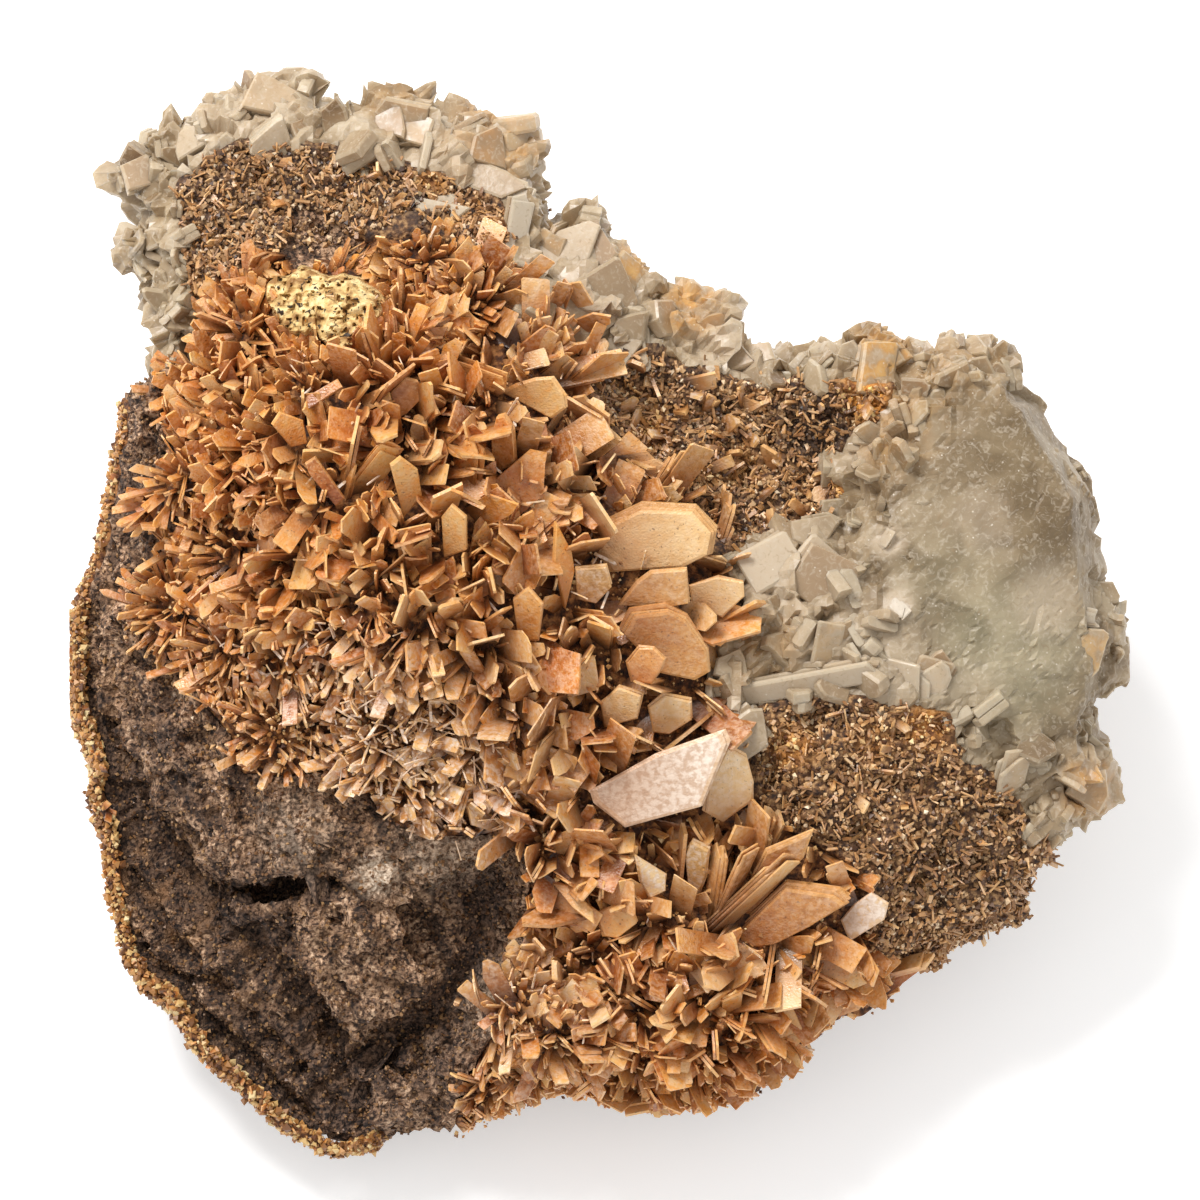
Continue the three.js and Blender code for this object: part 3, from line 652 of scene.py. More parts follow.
LAMP_AT, LAMP_TARGET = Vector((-240, 300, 640)), Vector((0, 0, 20))
light = bpy.data.lights.new("key", "AREA")
light.size = 240 * MM
light.energy = 5.2
lamp = bpy.data.objects.new("key", light)
lamp.location = LAMP_AT * MM
lamp.rotation_euler = (LAMP_AT - LAMP_TARGET).to_track_quat("Z", "Y").to_euler()
scene.collection.objects.link(lamp)
world = bpy.data.worlds.new("studio")
world.use_nodes = True
background = world.node_tree.nodes["Background"].inputs
background["Color"].default_value = (1, 1, 1, 1)
background["Strength"].default_value = 0.8
scene.world = world
scene.view_settings.view_transform = "Standard"

FLOOR_SIZE = 3000
floor_mesh = bpy.data.meshes.new("floor")
floor_corners = np.array([[-1, -1, 0], [1, -1, 0], [1, 1, 0], [-1, 1, 0]]) * FLOOR_SIZE / 2
fill(floor_mesh, floor_corners, [np.array([[0, 1, 2, 3]])])
floor = bpy.data.objects.new("floor", floor_mesh)
scene.collection.objects.link(floor)
paper = Finish("white_surface")
paper.set(Base_Color=paper.ramp(paper.noise(40), (0.3, 0.9), (0.7, 0.93)), Roughness=0.8,
          Emission_Color=(1, 1, 1, 1), Emission_Strength=0.3)
floor_mesh.materials.append(paper.material)

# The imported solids
SOLIDS = {node: solid(node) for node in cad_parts}
TREES = {node: tree_of(*SOLIDS[node]) for node in SOLIDS}


def others(node):
    return [tree for name, tree in TREES.items() if name != node]


CLOSE = 0.9  # skins meet where their solids are closer than this
MEETING_RISE = 0.25


def met(points, relief, node):
    """A skin's relief, outwards where the next solid is close, so that the skins meet"""
    near = ~clear_of(points, others(node), CLOSE)
    return np.where(near, np.maximum(relief, MEETING_RISE), relief)


# The face that the blades stand on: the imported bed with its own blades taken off
STEP = 6  # units between samples
HIGH = 60
GRID = np.arange(0, 2 * PLAN_MIDDLE + 1, STEP)


def top_map(tree):
    """Height of the first surface under each sample of the plan, or nan"""
    out = np.full((len(GRID), len(GRID)), np.nan)
    down = Vector(-OUTWARDS)
    for row, y in enumerate(GRID):
        starts = place(GRID, np.full(len(GRID), y), HIGH)
        for column, start in enumerate(starts.tolist()):
            reach = tree.ray_cast(start, down)[3]
            if reach is not None:
                out[row, column] = HIGH - reach
    return out


def neighbourhood(values, radius, pick):
    """The least or greatest of the samples within a radius"""
    cells = int(radius / UNIT / STEP)
    out = values.copy()
    for dy, dx in itertools.product(range(-cells, cells + 1), repeat=2):
        if dx * dx + dy * dy <= cells * cells:
            out = pick(out, np.roll(values, (dy, dx), (0, 1)))
    return out


BLADE_REACH = 3.4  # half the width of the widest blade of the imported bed
MAPS = {node: top_map(tree) for node, tree in TREES.items()}
tops, floors = MAPS[ROOT_BED], MAPS["host_rock"]
ground = neighbourhood(neighbourhood(tops, BLADE_REACH, np.fmin), BLADE_REACH, np.fmax)
ground = np.fmin(ground, floors + 1.5 * BED_DEPTH)


def spread(values, times):
    """The samples carried outwards over those that have none"""
    for _ in range(times):
        around = np.array([np.roll(values, shift, axis) for shift in (-1, 1) for axis in (0, 1)])
        known = np.isfinite(around)
        mean = np.where(known, around, 0).sum(axis=0) / np.maximum(known.sum(axis=0), 1)
        values = np.where(np.isnan(values) & known.any(axis=0), mean, values)
    return np.nan_to_num(values)


def softened(values, times):
    for _ in range(times):
        values = sum(np.roll(values, shift, axis) for shift in (-1, 1) for axis in (0, 1)) / 4
    return values


ground = softened(spread(ground, 60), 3)
every_top = np.fmax.reduce(list(MAPS.values()))
surface = spread(every_top, 20)
covered = neighbourhood(np.isfinite(every_top).astype(float), STEP * UNIT, np.fmax)


def sampled(values, x, y):
    """A map's value at plan x, y"""
    column, row = np.clip(x / STEP, 0, len(GRID) - 1.001), np.clip(y / STEP, 0, len(GRID) - 1.001)
    left, above = column.astype(int), row.astype(int)
    right_share, below_share = column - left, row - above
    upper = values[above, left] * (1 - right_share) + values[above, left + 1] * right_share
    lower = values[above + 1, left] * (1 - right_share) + values[above + 1, left + 1] * right_share
    return upper * (1 - below_share) + lower * below_share


PULLS, PULL = 5, 0.22  # of a crystal's length


def held_in(root, along, length):
    """Roots drawn back along the crystals until no tip stands past the specimen's outline"""
    for _ in range(PULLS):
        x, y, _ = plan_of(root + along * length[:, None])
        root = root - along * (PULL * length * (sampled(covered, x, y) < 0.5))[:, None]
    return root


def inside(root, along, flat, width, length):
    """Which crystals keep all their corners over the specimen"""
    side = unit(np.cross(along, flat)) * (width / 2)[:, None]
    kept = np.ones(len(root), bool)
    for end, sign in itertools.product((0.3, 1), (-1, 1)):
        x, y, _ = plan_of(root + along * (end * length)[:, None] + sign * side)
        kept &= sampled(covered, x, y) > 0.4
    return kept


def bed_skin():
    points, triangles = SOLIDS[ROOT_BED]
    x, y, height = plan_of(points)
    lowered = place(x, y, np.minimum(height, sampled(ground, x, y)))
    return remeshed(lowered, triangles, VOXEL)


BED_SKIN = bed_points, bed_quads = bed_skin()
bed = bed_points + 0.25 * rough(bed_points, 1.5, 3)[:, None] * normals_of(bed_points, bed_quads)
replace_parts(piece("blade_bed", bed, [bed_quads], {}, BED, "brown_barite", smooth=True), ROOT_BED)
BLADE_SUNK = 1.2  # how deep a blade's root is in the bed

# Blades of the bed by zone of the plan: x, y, then length, width to length, spacing, tan and frost
ZONES = np.array([
    (330, 280, 3.2, 0.56, 1.3, 0.1, 0.15), (440, 245, 2.8, 0.56, 1.3, 0.2, 0.25),
    (240, 320, 3.4, 0.5, 1.4, 0.1, 0.2), (410, 400, 5.8, 0.54, 2, 0.05, 0.15),
    (330, 500, 5.4, 0.44, 1.9, 0, 0.12), (450, 540, 6, 0.56, 2.1, 0.05, 0.15),
    (200, 430, 3.4, 0.4, 1.3, 0, 0.15), (260, 360, 4, 0.42, 1.5, 0, 0.12),
    (200, 590, 3.8, 0.26, 1.4, 0.1, 0.2), (300, 620, 4.6, 0.34, 1.6, 0.05, 0.2),
    (240, 720, 3.6, 0.26, 1.5, 0.25, 0.4), (330, 710, 3.2, 0.3, 1.4, 0.6, 0.75),
    (450, 760, 3.8, 0.45, 1.6, 0.7, 0.9), (400, 820, 3, 0.45, 1.4, 0.55, 0.8),
    (570, 450, 6.2, 0.6, 2.3, 0.45, 0.25), (640, 600, 7, 0.7, 2.8, 0.45, 0.2),
    (640, 480, 6.4, 0.6, 2.5, 0.55, 0.25), (560, 640, 6.2, 0.6, 2.3, 0.35, 0.25),
    (580, 750, 6, 0.6, 2.2, 0.3, 0.25), (690, 700, 6, 0.66, 2.3, 0.5, 0.3),
    (740, 890, 7, 0.42, 2.4, 0.4, 0.2), (600, 880, 6, 0.56, 2.1, 0.15, 0.2),
    (680, 1010, 4.8, 0.5, 1.7, 0.1, 0.2), (560, 1010, 4.2, 0.44, 1.5, 0.4, 0.4),
    (840, 1000, 5.2, 0.5, 1.8, 0.15, 0.2), (700, 1080, 4.4, 0.48, 1.6, 0.1, 0.25),
    (540, 300, 4.6, 0.6, 1.9, 0.45, 0.3), (470, 310, 4.2, 0.56, 1.6, 0.2, 0.25),
    (480, 1080, 3, 0.45, 1.3, 0.35, 0.35),
])
ZONE_SOFTNESS = 45
ROSETTE, VEIN_ROSETTE = 7.5, 9  # across, blades fan out in them
TWINNED = 0.55  # share of the blades with another grown beside them


def blended(points, table):
    """The values of the zones round each point"""
    x, y, _ = plan_of(points)
    away = (x[:, None] - table[:, 0]) ** 2 + (y[:, None] - table[:, 1]) ** 2
    weights = 1 / (away + ZONE_SOFTNESS ** 2) ** 2
    return (weights @ table[:, 2:] / weights.sum(axis=1, keepdims=True)).T


CREAM_PATCH = [(310, 308, 34, 1), (350, 318, 38, 1), (290, 300, 20, 1)]


def from_line(x, y, x0, y0, x1, y1):
    """From plan x, y to the nearest point between two ends of a line"""
    run, rise = x1 - x0, y1 - y0
    share = np.clip(((x - x0) * run + (y - y0) * rise) / (run ** 2 + rise ** 2), 0, 1)
    return np.hypot(x - x0 - share * run, y - y0 - share * rise)


def away_from(at, crystals, plates=(), margin=0.22):
    """Which spots aren't over the large crystals and plates, whose outlines are grown by a margin"""
    x, y, _ = plan_of(at)
    clear = np.ones(len(at), bool)
    for outline, *_ in plates:
        corners = np.array(outline, float)
        corners += margin * (corners - corners.mean(axis=0))
        following = np.roll(corners, -1, axis=0)
        turns = np.array([(x1 - x0) * (y - y0) - (y1 - y0) * (x - x0)
                          for (x0, y0), (x1, y1) in zip(corners, following)])
        clear &= ~((turns > 0).all(axis=0) | (turns < 0).all(axis=0))
    for *ends, width in (crystal[:5] for crystal in crystals):
        clear &= from_line(x, y, *ends) > 0.4 * width / UNIT
    return clear


def bed_blades(closer, smaller, bare, seed):
    """Blades all over the bed, closer and smaller than the zones say, where a zone is less than bare"""
    random = np.random.default_rng(seed)
    at, normals = scattered(
        BED_SKIN, ROOT_BED, 60000, random, facing=-0.15,
        chosen=lambda at: away_from(at, LARGE, SLABS) & (zone(at, CREAM_PATCH) < bare))
    normals = unit(normals + 0.25 * OUTWARDS)
    length, shape, spacing, tan, frost = blended(at, ZONES)
    kept = thinned(at, spacing * closer)
    at, normals, length, shape, tan, frost = picked(kept, at, normals, length, shape, tan, frost)
    number = len(at)
    along, flat = fanned(at, normals, ROSETTE, random, seed=5)
    length = length * smaller * (0.6 + 0.8 * random.random(number) ** 1.4)
    width = length * shape * (0.45 + 0.65 * random.random(number))
    thick = 0.14 + 0.035 * length * random.random(number)
    length = length + BLADE_SUNK
    root = held_in(at - along * BLADE_SUNK, along, length)
    kept = inside(root, along, flat, width, length)
    for share in (0.7, 1):
        kept &= away_from(root + along * (share * length)[:, None], [], SLABS, 0.04)
    root, along, flat, width, length, thick, tan, frost = picked(
        kept, root, along, flat, width, length, thick, tan, frost)
    number = len(root)
    tan = np.clip(tan + 0.7 * (random.random(number) - 0.5), 0, 1)
    twins = np.flatnonzero(random.random(number) < TWINNED)
    beside = flat[twins] * (1.25 * thick[twins])[:, None]
    shift = 0.3 * width[twins] * (random.random(len(twins)) - 0.5)
    beside += np.cross(along, flat)[twins] * shift[:, None]
    again = np.concatenate([np.arange(number), twins])
    root = np.concatenate([root, root[twins] + beside])
    length = np.concatenate([length, length[twins] * (0.7 + 0.25 * random.random(len(twins)))])
    return toned(crystals(root, along[again], flat[again], width[again], length, thick[again], random),
                 tan=tan[again], frost=frost[again])


def cream_crust():
    """A flat worn crust with pits over the blades"""
    step = 1.6
    columns, rows = np.arange(250, 408, step), np.arange(262, 360, step)
    x, y = (each.ravel() for each in np.meshgrid(columns, rows))
    level = place(x, y, 0 * x)
    share = zone(level, CREAM_PATCH) + 0.12 * rough(level, 1.6, 103)
    rise = np.clip((share - 0.3) / 0.2, 0, 1)
    pits = np.clip(5 * noise(level, 0.36, 107) - 1.8, 0, 1)
    height = sampled(ground, x, y) - 1 + rise * (3.4 + 0.7 * rough(level, 1.5, 105)) - 0.9 * pits * rise
    home = np.arange(len(x)).reshape(-1, len(columns))
    quads = np.stack([home[1:, :-1], home[1:, 1:], home[:-1, 1:], home[:-1, :-1]], axis=-1).reshape(-1, 4)
    quads = quads[(rise[quads] > 0).any(axis=1)]
    used, corners = np.unique(quads, return_inverse=True)
    return place(x, y, height)[used], [corners.reshape(-1, 4)]


# The large crystals: root and tip on the plan, width, thickness, how far root and tip stand off the
# ground, roll in degrees, tan and frost
LARGE = [
    (702, 934, 790, 850, 3, 1.3, 0.5, 5.4, 62, 0.4, 0.2),
    (716, 918, 748, 842, 3, 1.1, 0.5, 6, 62, 0.5, 0.2),
    (708, 920, 720, 836, 2.4, 0.9, 0.5, 6, -58, 0.5, 0.2),
    (538, 880, 600, 925, 3.4, 1, 0.6, 2.6, 28, 0.2, 0.2),
    (500, 352, 540, 284, 5, 1.4, 0.5, 3, -20, 0.7, 0.2), (438, 366, 510, 392, 2.8, 1, 1, 3, 44, 0.2, 0.1),
    (470, 500, 476, 440, 3.2, 1, 0.5, 4.4, -34, 0.1, 0.1), (360, 500, 402, 450, 3, 0.9, 0.5, 4, 40, 0, 0.1),
    (800, 1012, 870, 990, 4, 1.2, 0.5, 1, 22, 0.3, 0.2), (560, 520, 600, 500, 3.6, 1, 0.5, 3, 36, 0.8, 0.3),
    (620, 480, 668, 470, 4, 1.1, 0.5, 2.6, 26, 0.9, 0.2),
    (690, 640, 716, 668, 3.4, 1, 0.3, 1.8, -30, 0.6, 0.2),
]

# Broad plates whose outlines are seen from above, root corner first: the outline on the plan, thickness,
# stand off the ground, slope across and down the plan, layers, tan and frost
SLABS = [
    (((592, 786), (655, 752), (719, 729), (723, 740), (698, 802), (665, 811), (624, 821), (596, 798)),
     0.8, 5.4, 0.1, -0.15, 2, 1, 2),
    (((722, 818), (704, 808), (706, 784), (725, 744), (744, 755), (751, 779), (749, 797)),
     0.7, 3.7, -0.2, -0.5, 2, 1, 0.35),
    (((598, 556), (604, 530), (640, 513), (690, 515), (708, 535), (704, 556), (680, 568), (610, 573)),
     2.6, 3.6, 0.1, -0.3, 4, 0.8, 0.1),
    (((624, 634), (634, 616), (667, 612), (684, 621), (704, 650), (707, 671), (693, 679), (660, 672)),
     1.6, 2.8, -0.15, -0.5, 3, 0.35, 0.15),
    (((618, 606), (636, 584), (650, 573), (684, 571), (686, 604), (662, 608)),
     0.7, 3.3, 0.1, -0.55, 2, 0.6, 0.2),
    (((690, 606), (687, 586), (714, 578), (740, 583), (741, 597), (719, 617), (703, 610)),
     0.5, 3, 0.2, -0.5, 2, 0.7, 0.2),
    (((632, 681), (626, 662), (638, 647), (652, 647), (663, 658), (659, 668), (650, 682)),
     0.5, 5, 0.3, -0.4, 2, 0.3, 0.1),
    (((578, 600), (576, 570), (606, 568), (611, 588), (596, 604)), 0.6, 3.1, 0.2, -0.6, 2, 0.9, 0.4),
    (((736, 920), (752, 872), (764, 848), (806, 829), (797, 856), (758, 900)),
     0.8, 3.3, -0.1, -0.75, 2, 0.5, 0.2),
    (((736, 930), (782, 884), (829, 891), (840, 899), (806, 922), (770, 941), (744, 944)),
     1.8, 2.4, 0.15, -0.55, 4, 0.35, 0.2),
    (((553, 878), (571, 880), (592, 903), (594, 918), (572, 901)), 0.5, 3.1, 0.3, 0.2, 2, 0.1, 0.1),
    (((596, 908), (611, 902), (634, 909), (636, 918), (617, 933), (604, 931)),
     0.6, 2.9, 0.1, -0.4, 2, 0.1, 0.1),
    (((641, 878), (637, 851), (665, 870), (665, 886), (650, 893)), 0.6, 3.3, -0.4, -0.4, 2, 1, 0.8),
    (((690, 910), (683, 852), (690, 837), (706, 846), (703, 872)), 0.6, 3.5, 0.35, -0.7, 2, 1, 0.5),
    (((837, 916), (850, 900), (867, 888), (884, 899), (880, 915), (846, 937)),
     0.5, 2.5, 0.1, -0.3, 1, 1, 1.5),
    (((494, 482), (494, 441), (499, 423), (506, 421), (515, 436), (517, 466)),
     0.9, 2.6, 0.45, -0.6, 1, 0.15, 0.1),
    (((505, 398), (519, 390), (537, 385), (553, 384), (564, 400), (566, 413), (552, 423)),
     0.5, 4, 0.3, -0.5, 2, 0.2, 0.1),
    (((580, 466), (579, 455), (609, 433), (621, 444), (592, 467)), 0.5, 2.7, 0.5, -0.3, 1, 0.8, 0.2),
    (((567, 609), (556, 562), (558, 524), (573, 553), (576, 572)), 0.6, 3.5, -0.7, -0.3, 1, 0, 0),
    (((397, 400), (412, 385), (424, 388), (430, 402), (412, 420), (401, 425)),
     0.5, 3.3, -0.3, -0.5, 1, 0.3, 0.1),
    (((344, 510), (318, 478), (314, 468), (324, 462), (352, 502)), 0.5, 3.3, 0.2, -0.5, 1, 0, 0.1),
    (((316, 415), (312, 404), (345, 385), (350, 393)), 0.5, 3.7, 0.2, 0.2, 1, 0.2, 0.1),
    (((410, 520), (398, 470), (408, 462), (424, 474), (428, 500)), 0.5, 3.5, -0.4, -0.6, 1, 0, 0.1),
    (((448, 560), (446, 520), (456, 508), (470, 520), (470, 552)), 0.5, 3.5, 0.5, -0.6, 1, 0.1, 0.1),
    (((300, 452), (282, 430), (290, 418), (312, 426), (316, 448)), 0.5, 3.3, -0.4, -0.4, 1, 0, 0.1),
    (((520, 640), (515, 600), (530, 588), (544, 604), (540, 640)), 0.5, 3.5, 0.4, -0.6, 2, 0.2, 0.2),
    (((604, 726), (600, 700), (618, 686), (640, 694), (636, 716)), 0.6, 3.1, 0.2, -0.6, 2, 0.7, 0.2),
    (((652, 730), (648, 706), (664, 694), (690, 700), (690, 718), (668, 732)),
     0.6, 2.9, -0.2, -0.5, 2, 0.8, 0.3),
]


def slabs(table, heights, seed):
    """Plates cut to an outline, each in a few layers, with worn upper edges"""
    random = np.random.default_rng(seed)
    points, faces, tones = [], [], {name: [] for name in ("rise", "edge", "dice", "tan", "frost")}
    start = 0
    for outline, thick, stand, across, down, layers, tan, frost in table:
        corners = np.array(outline, float)
        middle = corners.mean(axis=0)
        away = np.linalg.norm(corners - corners[0], axis=1)
        number = len(corners)
        base = sampled(heights, middle[:1], middle[1:])[0] + stand
        facing = unit(OUTWARDS - across * np.array([1, 0, 0]) + down * UPWARDS)
        for layer in range(layers):
            grown = middle + (corners - middle) * (1 + 0.05 * min(layer, 2))
            grown += (layer > 0) * random.normal(size=(number, 2))
            for inset, drop in ((0.3, 0), (0, 0.12), (0, 0.9 * thick / layers)):
                x, y = (grown + (middle - grown) * inset * 0.25).T
                slope = (across * (x - middle[0]) + down * (y - middle[1])) * UNIT
                points.append(place(x, y, base + slope) - facing * (drop + layer * thick / layers))
            here = np.arange(number)
            after = (here + 1) % number
            belts = [np.stack([after, here, here + number, after + number], axis=1) + number * ring
                     for ring in (0, 1)]
            faces += [np.concatenate(belts) + start, here[None, ::-1] + start,
                      here[None] + 2 * number + start]
            tones["edge"].append(np.repeat([1.0, 0.0], [2 * number, 2]))
            tones["rise"].append(np.tile(0.4 + 0.6 * away / away.max(), 3))
            for name, value in (("dice", random.random()), ("tan", tan), ("frost", frost)):
                tones[name].append(np.full(3 * number, value))
            start += 3 * number
    return np.concatenate(points), faces, {name: np.concatenate(values) for name, values in tones.items()}


def large_crystals(table, looks, plates, heights, seed):
    """Crystals from a table over a map of heights: each is a few flat plates grown side by side"""
    random = np.random.default_rng(seed)
    x0, y0, x1, y1, width, thick, lift0, lift1, roll, *values = np.repeat(np.array(table), plates, axis=0).T
    layer = np.tile(np.arange(plates), len(table)) - (plates - 1) / 2
    number = len(x0)
    start = place(x0, y0, sampled(heights, x0, y0) + lift0 - BLADE_SUNK)
    end = place(x1, y1, sampled(heights, x1, y1) + lift1)
    along = unit(end - start)
    out = unit(OUTWARDS - along * (along @ OUTWARDS)[:, None])
    flat = turned(out, along, np.radians(roll))
    shift = (0.12 * width * random.normal(size=number))[:, None]
    root = start + flat * (layer * thick / plates)[:, None] + np.cross(along, flat) * shift
    length = np.linalg.norm(end - start, axis=1) * (0.86 + 0.14 * random.random(number))
    wide = width * (0.8 + 0.2 * random.random(number))
    made = crystals(root, along, flat, wide, length, thick / plates * 1.15, random, THICK, 0.7)
    return toned(made, **dict(zip(looks, values)))


piece("broad_plates", *slabs(SLABS, ground, 37), BLADES, "brown_barite")
piece("large_crystals", *large_crystals(LARGE, ("tan", "frost"), 4, ground, 5), BLADES, "brown_barite")
piece("bed_blades", *bed_blades(0.74, 1.1, 0.08, 11), BLADES, "brown_barite")
piece("small_blades", *bed_blades(0.56, 0.62, 0.3, 13), BLADES, "brown_barite")
piece("cream_crust", *cream_crust(), {}, CREAM, "brown_barite")

FIBRES = [
    (400, 720, 48, 1), (335, 645, 45, 0.6), (455, 770, 70, 0.5), (270, 640, 40, 0.4), (520, 1000, 30, 0.6),
    (560, 560, 60, 0.15), (400, 460, 160, 0.05), (680, 980, 120, 0.06),
]


def fibres():
    """Pale needles that lie over the blades"""
    random = np.random.default_rng(41)
    at, normals = scattered(BED_SKIN, ROOT_BED, 16000, random, facing=0,
                            chosen=lambda at: random.random(len(at)) < 0.6 * zone(at, FIBRES))
    number = len(at)
    along, flat = stood(normals, 0.5 + 0.9 * random.random(number), random)
    at = at + normals * (0.4 + 1.6 * random.random(number))[:, None]
    length = 1.2 + 2.2 * random.random(number)
    width = 0.15 + 0.25 * random.random(number) ** 2
    thick = 0.1 + 0.08 * random.random(number)
    return toned(crystals(held_in(at, along, length), along, flat, width, length, thick, random),
                 tan=1, frost=0.6 + 1.4 * random.random(number), rise=1)


def crumbs():
    """Crumbs caught between the blades, many in the frosted zone"""
    random = np.random.default_rng(43)
    at, normals = scattered(
        BED_SKIN, ROOT_BED, 22000, random, facing=-0.1,
        chosen=lambda at: random.random(len(at)) < 0.12 + 0.9 * blended(at, ZONES)[4])
    size = 0.3 + 0.5 * random.random(len(at)) ** 2
    at = at + normals * (1.3 * random.random(len(at)) ** 2)[:, None]
    return toned(grains(at, size, random), ochre=0.35)


piece("fibres", *fibres(), BLADES, "brown_barite")
piece("crumbs", *crumbs(), GRAINS, "brown_barite")

# The pale vein
PLATE = [
    (990, 560, 130, 1), (1000, 460, 90, 1), (950, 640, 80, 0.9), (1040, 680, 70, 0.9), (1000, 760, 40, 0.6),
]
GREEN = [(1000, 650, 80, 0.8), (950, 590, 60, 0.4)]
BROWN = [
    (890, 430, 50, 0.5), (500, 140, 50, 0.7), (690, 310, 30, 1), (630, 262, 20, 0.8), (880, 350, 30, 0.7),
    (1085, 785, 30, 1), (960, 400, 60, 0.4), (560, 240, 20, 0.6), (400, 110, 30, 0.4), (760, 640, 40, 0.3),
]
WHITE = [
    (790, 570, 60, 0.4), (860, 660, 70, 0.4), (250, 120, 60, 0.5), (600, 290, 40, 0.7), (730, 350, 40, 0.6),
    (884, 542, 16, 1), (892, 605, 16, 1), (740, 715, 30, 0.5), (1040, 600, 36, 0.6), (975, 520, 30, 0.3),
    (960, 700, 40, 0.4), (450, 170, 60, 0.4),
]
VEIN = "pale_barite_vein"


def vein_tones(points):
    return {"brown": zone(points, BROWN), "white": zone(points, WHITE), "green": zone(points, GREEN),
            "plate": zone(points, PLATE)}


vein_points, vein_quads = remeshed(*SOLIDS[VEIN], VOXEL)
broken = 1 - 0.97 * zone(vein_points, PLATE)
relief = broken * (facets(vein_points, 5.5, 0.5, 21) + facets(vein_points, 2.2, 0.45, 31))
relief += 0.02 * facets(vein_points, 2.4, 0.5, 41) + 0.12 * rough(vein_points, 6, 51)
relief = met(vein_points, relief, VEIN)
vein_points = vein_points + relief[:, None] * normals_of(vein_points, vein_quads)
tones = dict(vein_tones(vein_points), dice=np.full(len(vein_points), 0.6))
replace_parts(piece("vein", vein_points, [vein_quads], tones, PALE, "pale_barite"), VEIN)

# Crystals of the vein by zone of the plan: x, y, then length, width to length and spacing
VEIN_ZONES = np.array([
    (150, 250, 4, 0.9, 2), (250, 110, 5.6, 1, 2.9), (400, 130, 5.6, 1, 2.8), (500, 160, 6.2, 1, 3),
    (600, 260, 6.5, 0.8, 2.9), (700, 340, 5.6, 1, 2.9), (850, 350, 4, 1, 2.1), (960, 370, 3.4, 1, 1.9),
    (1080, 480, 2.6, 1, 1.7), (1090, 680, 3.4, 1, 2.1), (1090, 780, 4.2, 1.1, 2.4), (800, 580, 5, 1.2, 3.2),
    (860, 660, 5, 1.2, 3.2), (900, 560, 3.6, 1, 2.4),
])

# Large crystals of the vein: root and tip on the plan, width, thickness, how far root and tip stand
# off the surface, roll in degrees, then brown and white
VEIN_LARGE = [
    (868, 400, 877, 342, 4.6, 2.6, -0.4, 0.8, 24, 1, 0),
    (430, 124, 362, 112, 5.6, 3.2, 0.4, 0.2, -8, 0.3, 0.2),
    (440, 168, 536, 204, 4, 1.6, 0.4, 1.6, -14, 0, 0.9), (512, 258, 524, 196, 3, 1, 0.4, 2, 30, 0, 0.8),
    (452, 232, 420, 196, 6, 2.4, -0.4, 0.6, 10, 0, 0.2), (536, 330, 548, 286, 4.4, 3, 0, 1, 20, 0, 0),
    (568, 340, 640, 290, 7.5, 2, -0.2, 1.4, 16, 0, 0.4), (590, 360, 650, 350, 6, 2, -0.4, 0.6, -10, 0, 0.3),
    (560, 290, 610, 232, 6.4, 2.6, 0, 1.2, -12, 0.2, 0.6), (600, 300, 636, 262, 5.6, 2, 0, 1.2, 22, 1, 0),
    (700, 372, 704, 306, 11, 4, 0, 0.4, 6, 0.8, 0.2), (745, 372, 738, 342, 6, 3, 0, 0.8, -14, 0.2, 0.6),
    (890, 372, 864, 336, 5, 1.6, 0, 0.6, 18, 1, 0), (848, 372, 836, 348, 5, 2.6, 0, 0.6, -14, 0, 0.3),
    (1036, 604, 1092, 618, 1.6, 0.8, 0, 1.4, 14, 0.3, 1),
    (1040, 616, 1094, 622, 1.4, 0.7, 0, 1.2, -24, 0.2, 1),
    (1044, 598, 1078, 582, 1.6, 0.8, 0, 1, 20, 0.3, 0.8),
    (1062, 668, 1100, 630, 5, 1.6, 0, 1.2, 26, 0.9, 0.2),
    (724, 694, 884, 664, 2.8, 1.8, 0.6, 1, 34, 0, 0.9),
    (784, 718, 858, 698, 2.6, 1.6, 0.4, 0.8, -20, 0.1, 0.8),
    (800, 600, 838, 548, 7, 3, 0, 0.8, 8, 0.1, 0.9), (742, 580, 800, 548, 6, 3, 0, 0.8, -8, 0.1, 0.8),
    (824, 660, 832, 618, 4, 1.2, 0.4, 1.6, 24, 0.6, 0.4),
    (858, 532, 886, 546, 2.2, 0.6, 0.4, 0.8, 0, 0, 1.5),
    (884, 596, 902, 616, 1.8, 0.6, 0.4, 0.8, 0, 0, 1.5),
    (912, 706, 938, 650, 4.6, 1.6, 0.2, 1, 14, 0.4, 0.5),
    (900, 700, 900, 652, 4.4, 1.6, 0.2, 0.8, -20, 0.3, 0.6),
    (1000, 800, 1012, 744, 3.6, 1.4, 0.4, 2, 30, 0.4, 0.4),
    (728, 742, 766, 716, 5, 2.6, 0, 0.8, 10, 0, 0.3), (1072, 800, 1092, 764, 5.4, 3, 0, 0.8, 12, 0.8, 0.4),
    (270, 120, 276, 80, 7, 3, 0, 0.4, 8, 0.3, 0.5), (200, 158, 188, 132, 5, 2.6, 0, 0.6, -12, 0.1, 0.5),
    (150, 190, 140, 160, 3.6, 2, 0, 0.6, 14, 0.1, 0.6),
    (490, 170, 500, 128, 5.6, 2.4, 0, 0.8, 18, 0.8, 0.3),
    (390, 140, 402, 108, 6, 2.4, 0, 0.6, -16, 0.5, 0.4), (448, 146, 446, 116, 4.6, 2.2, 0, 0.6, 10, 0, 0.7),
]


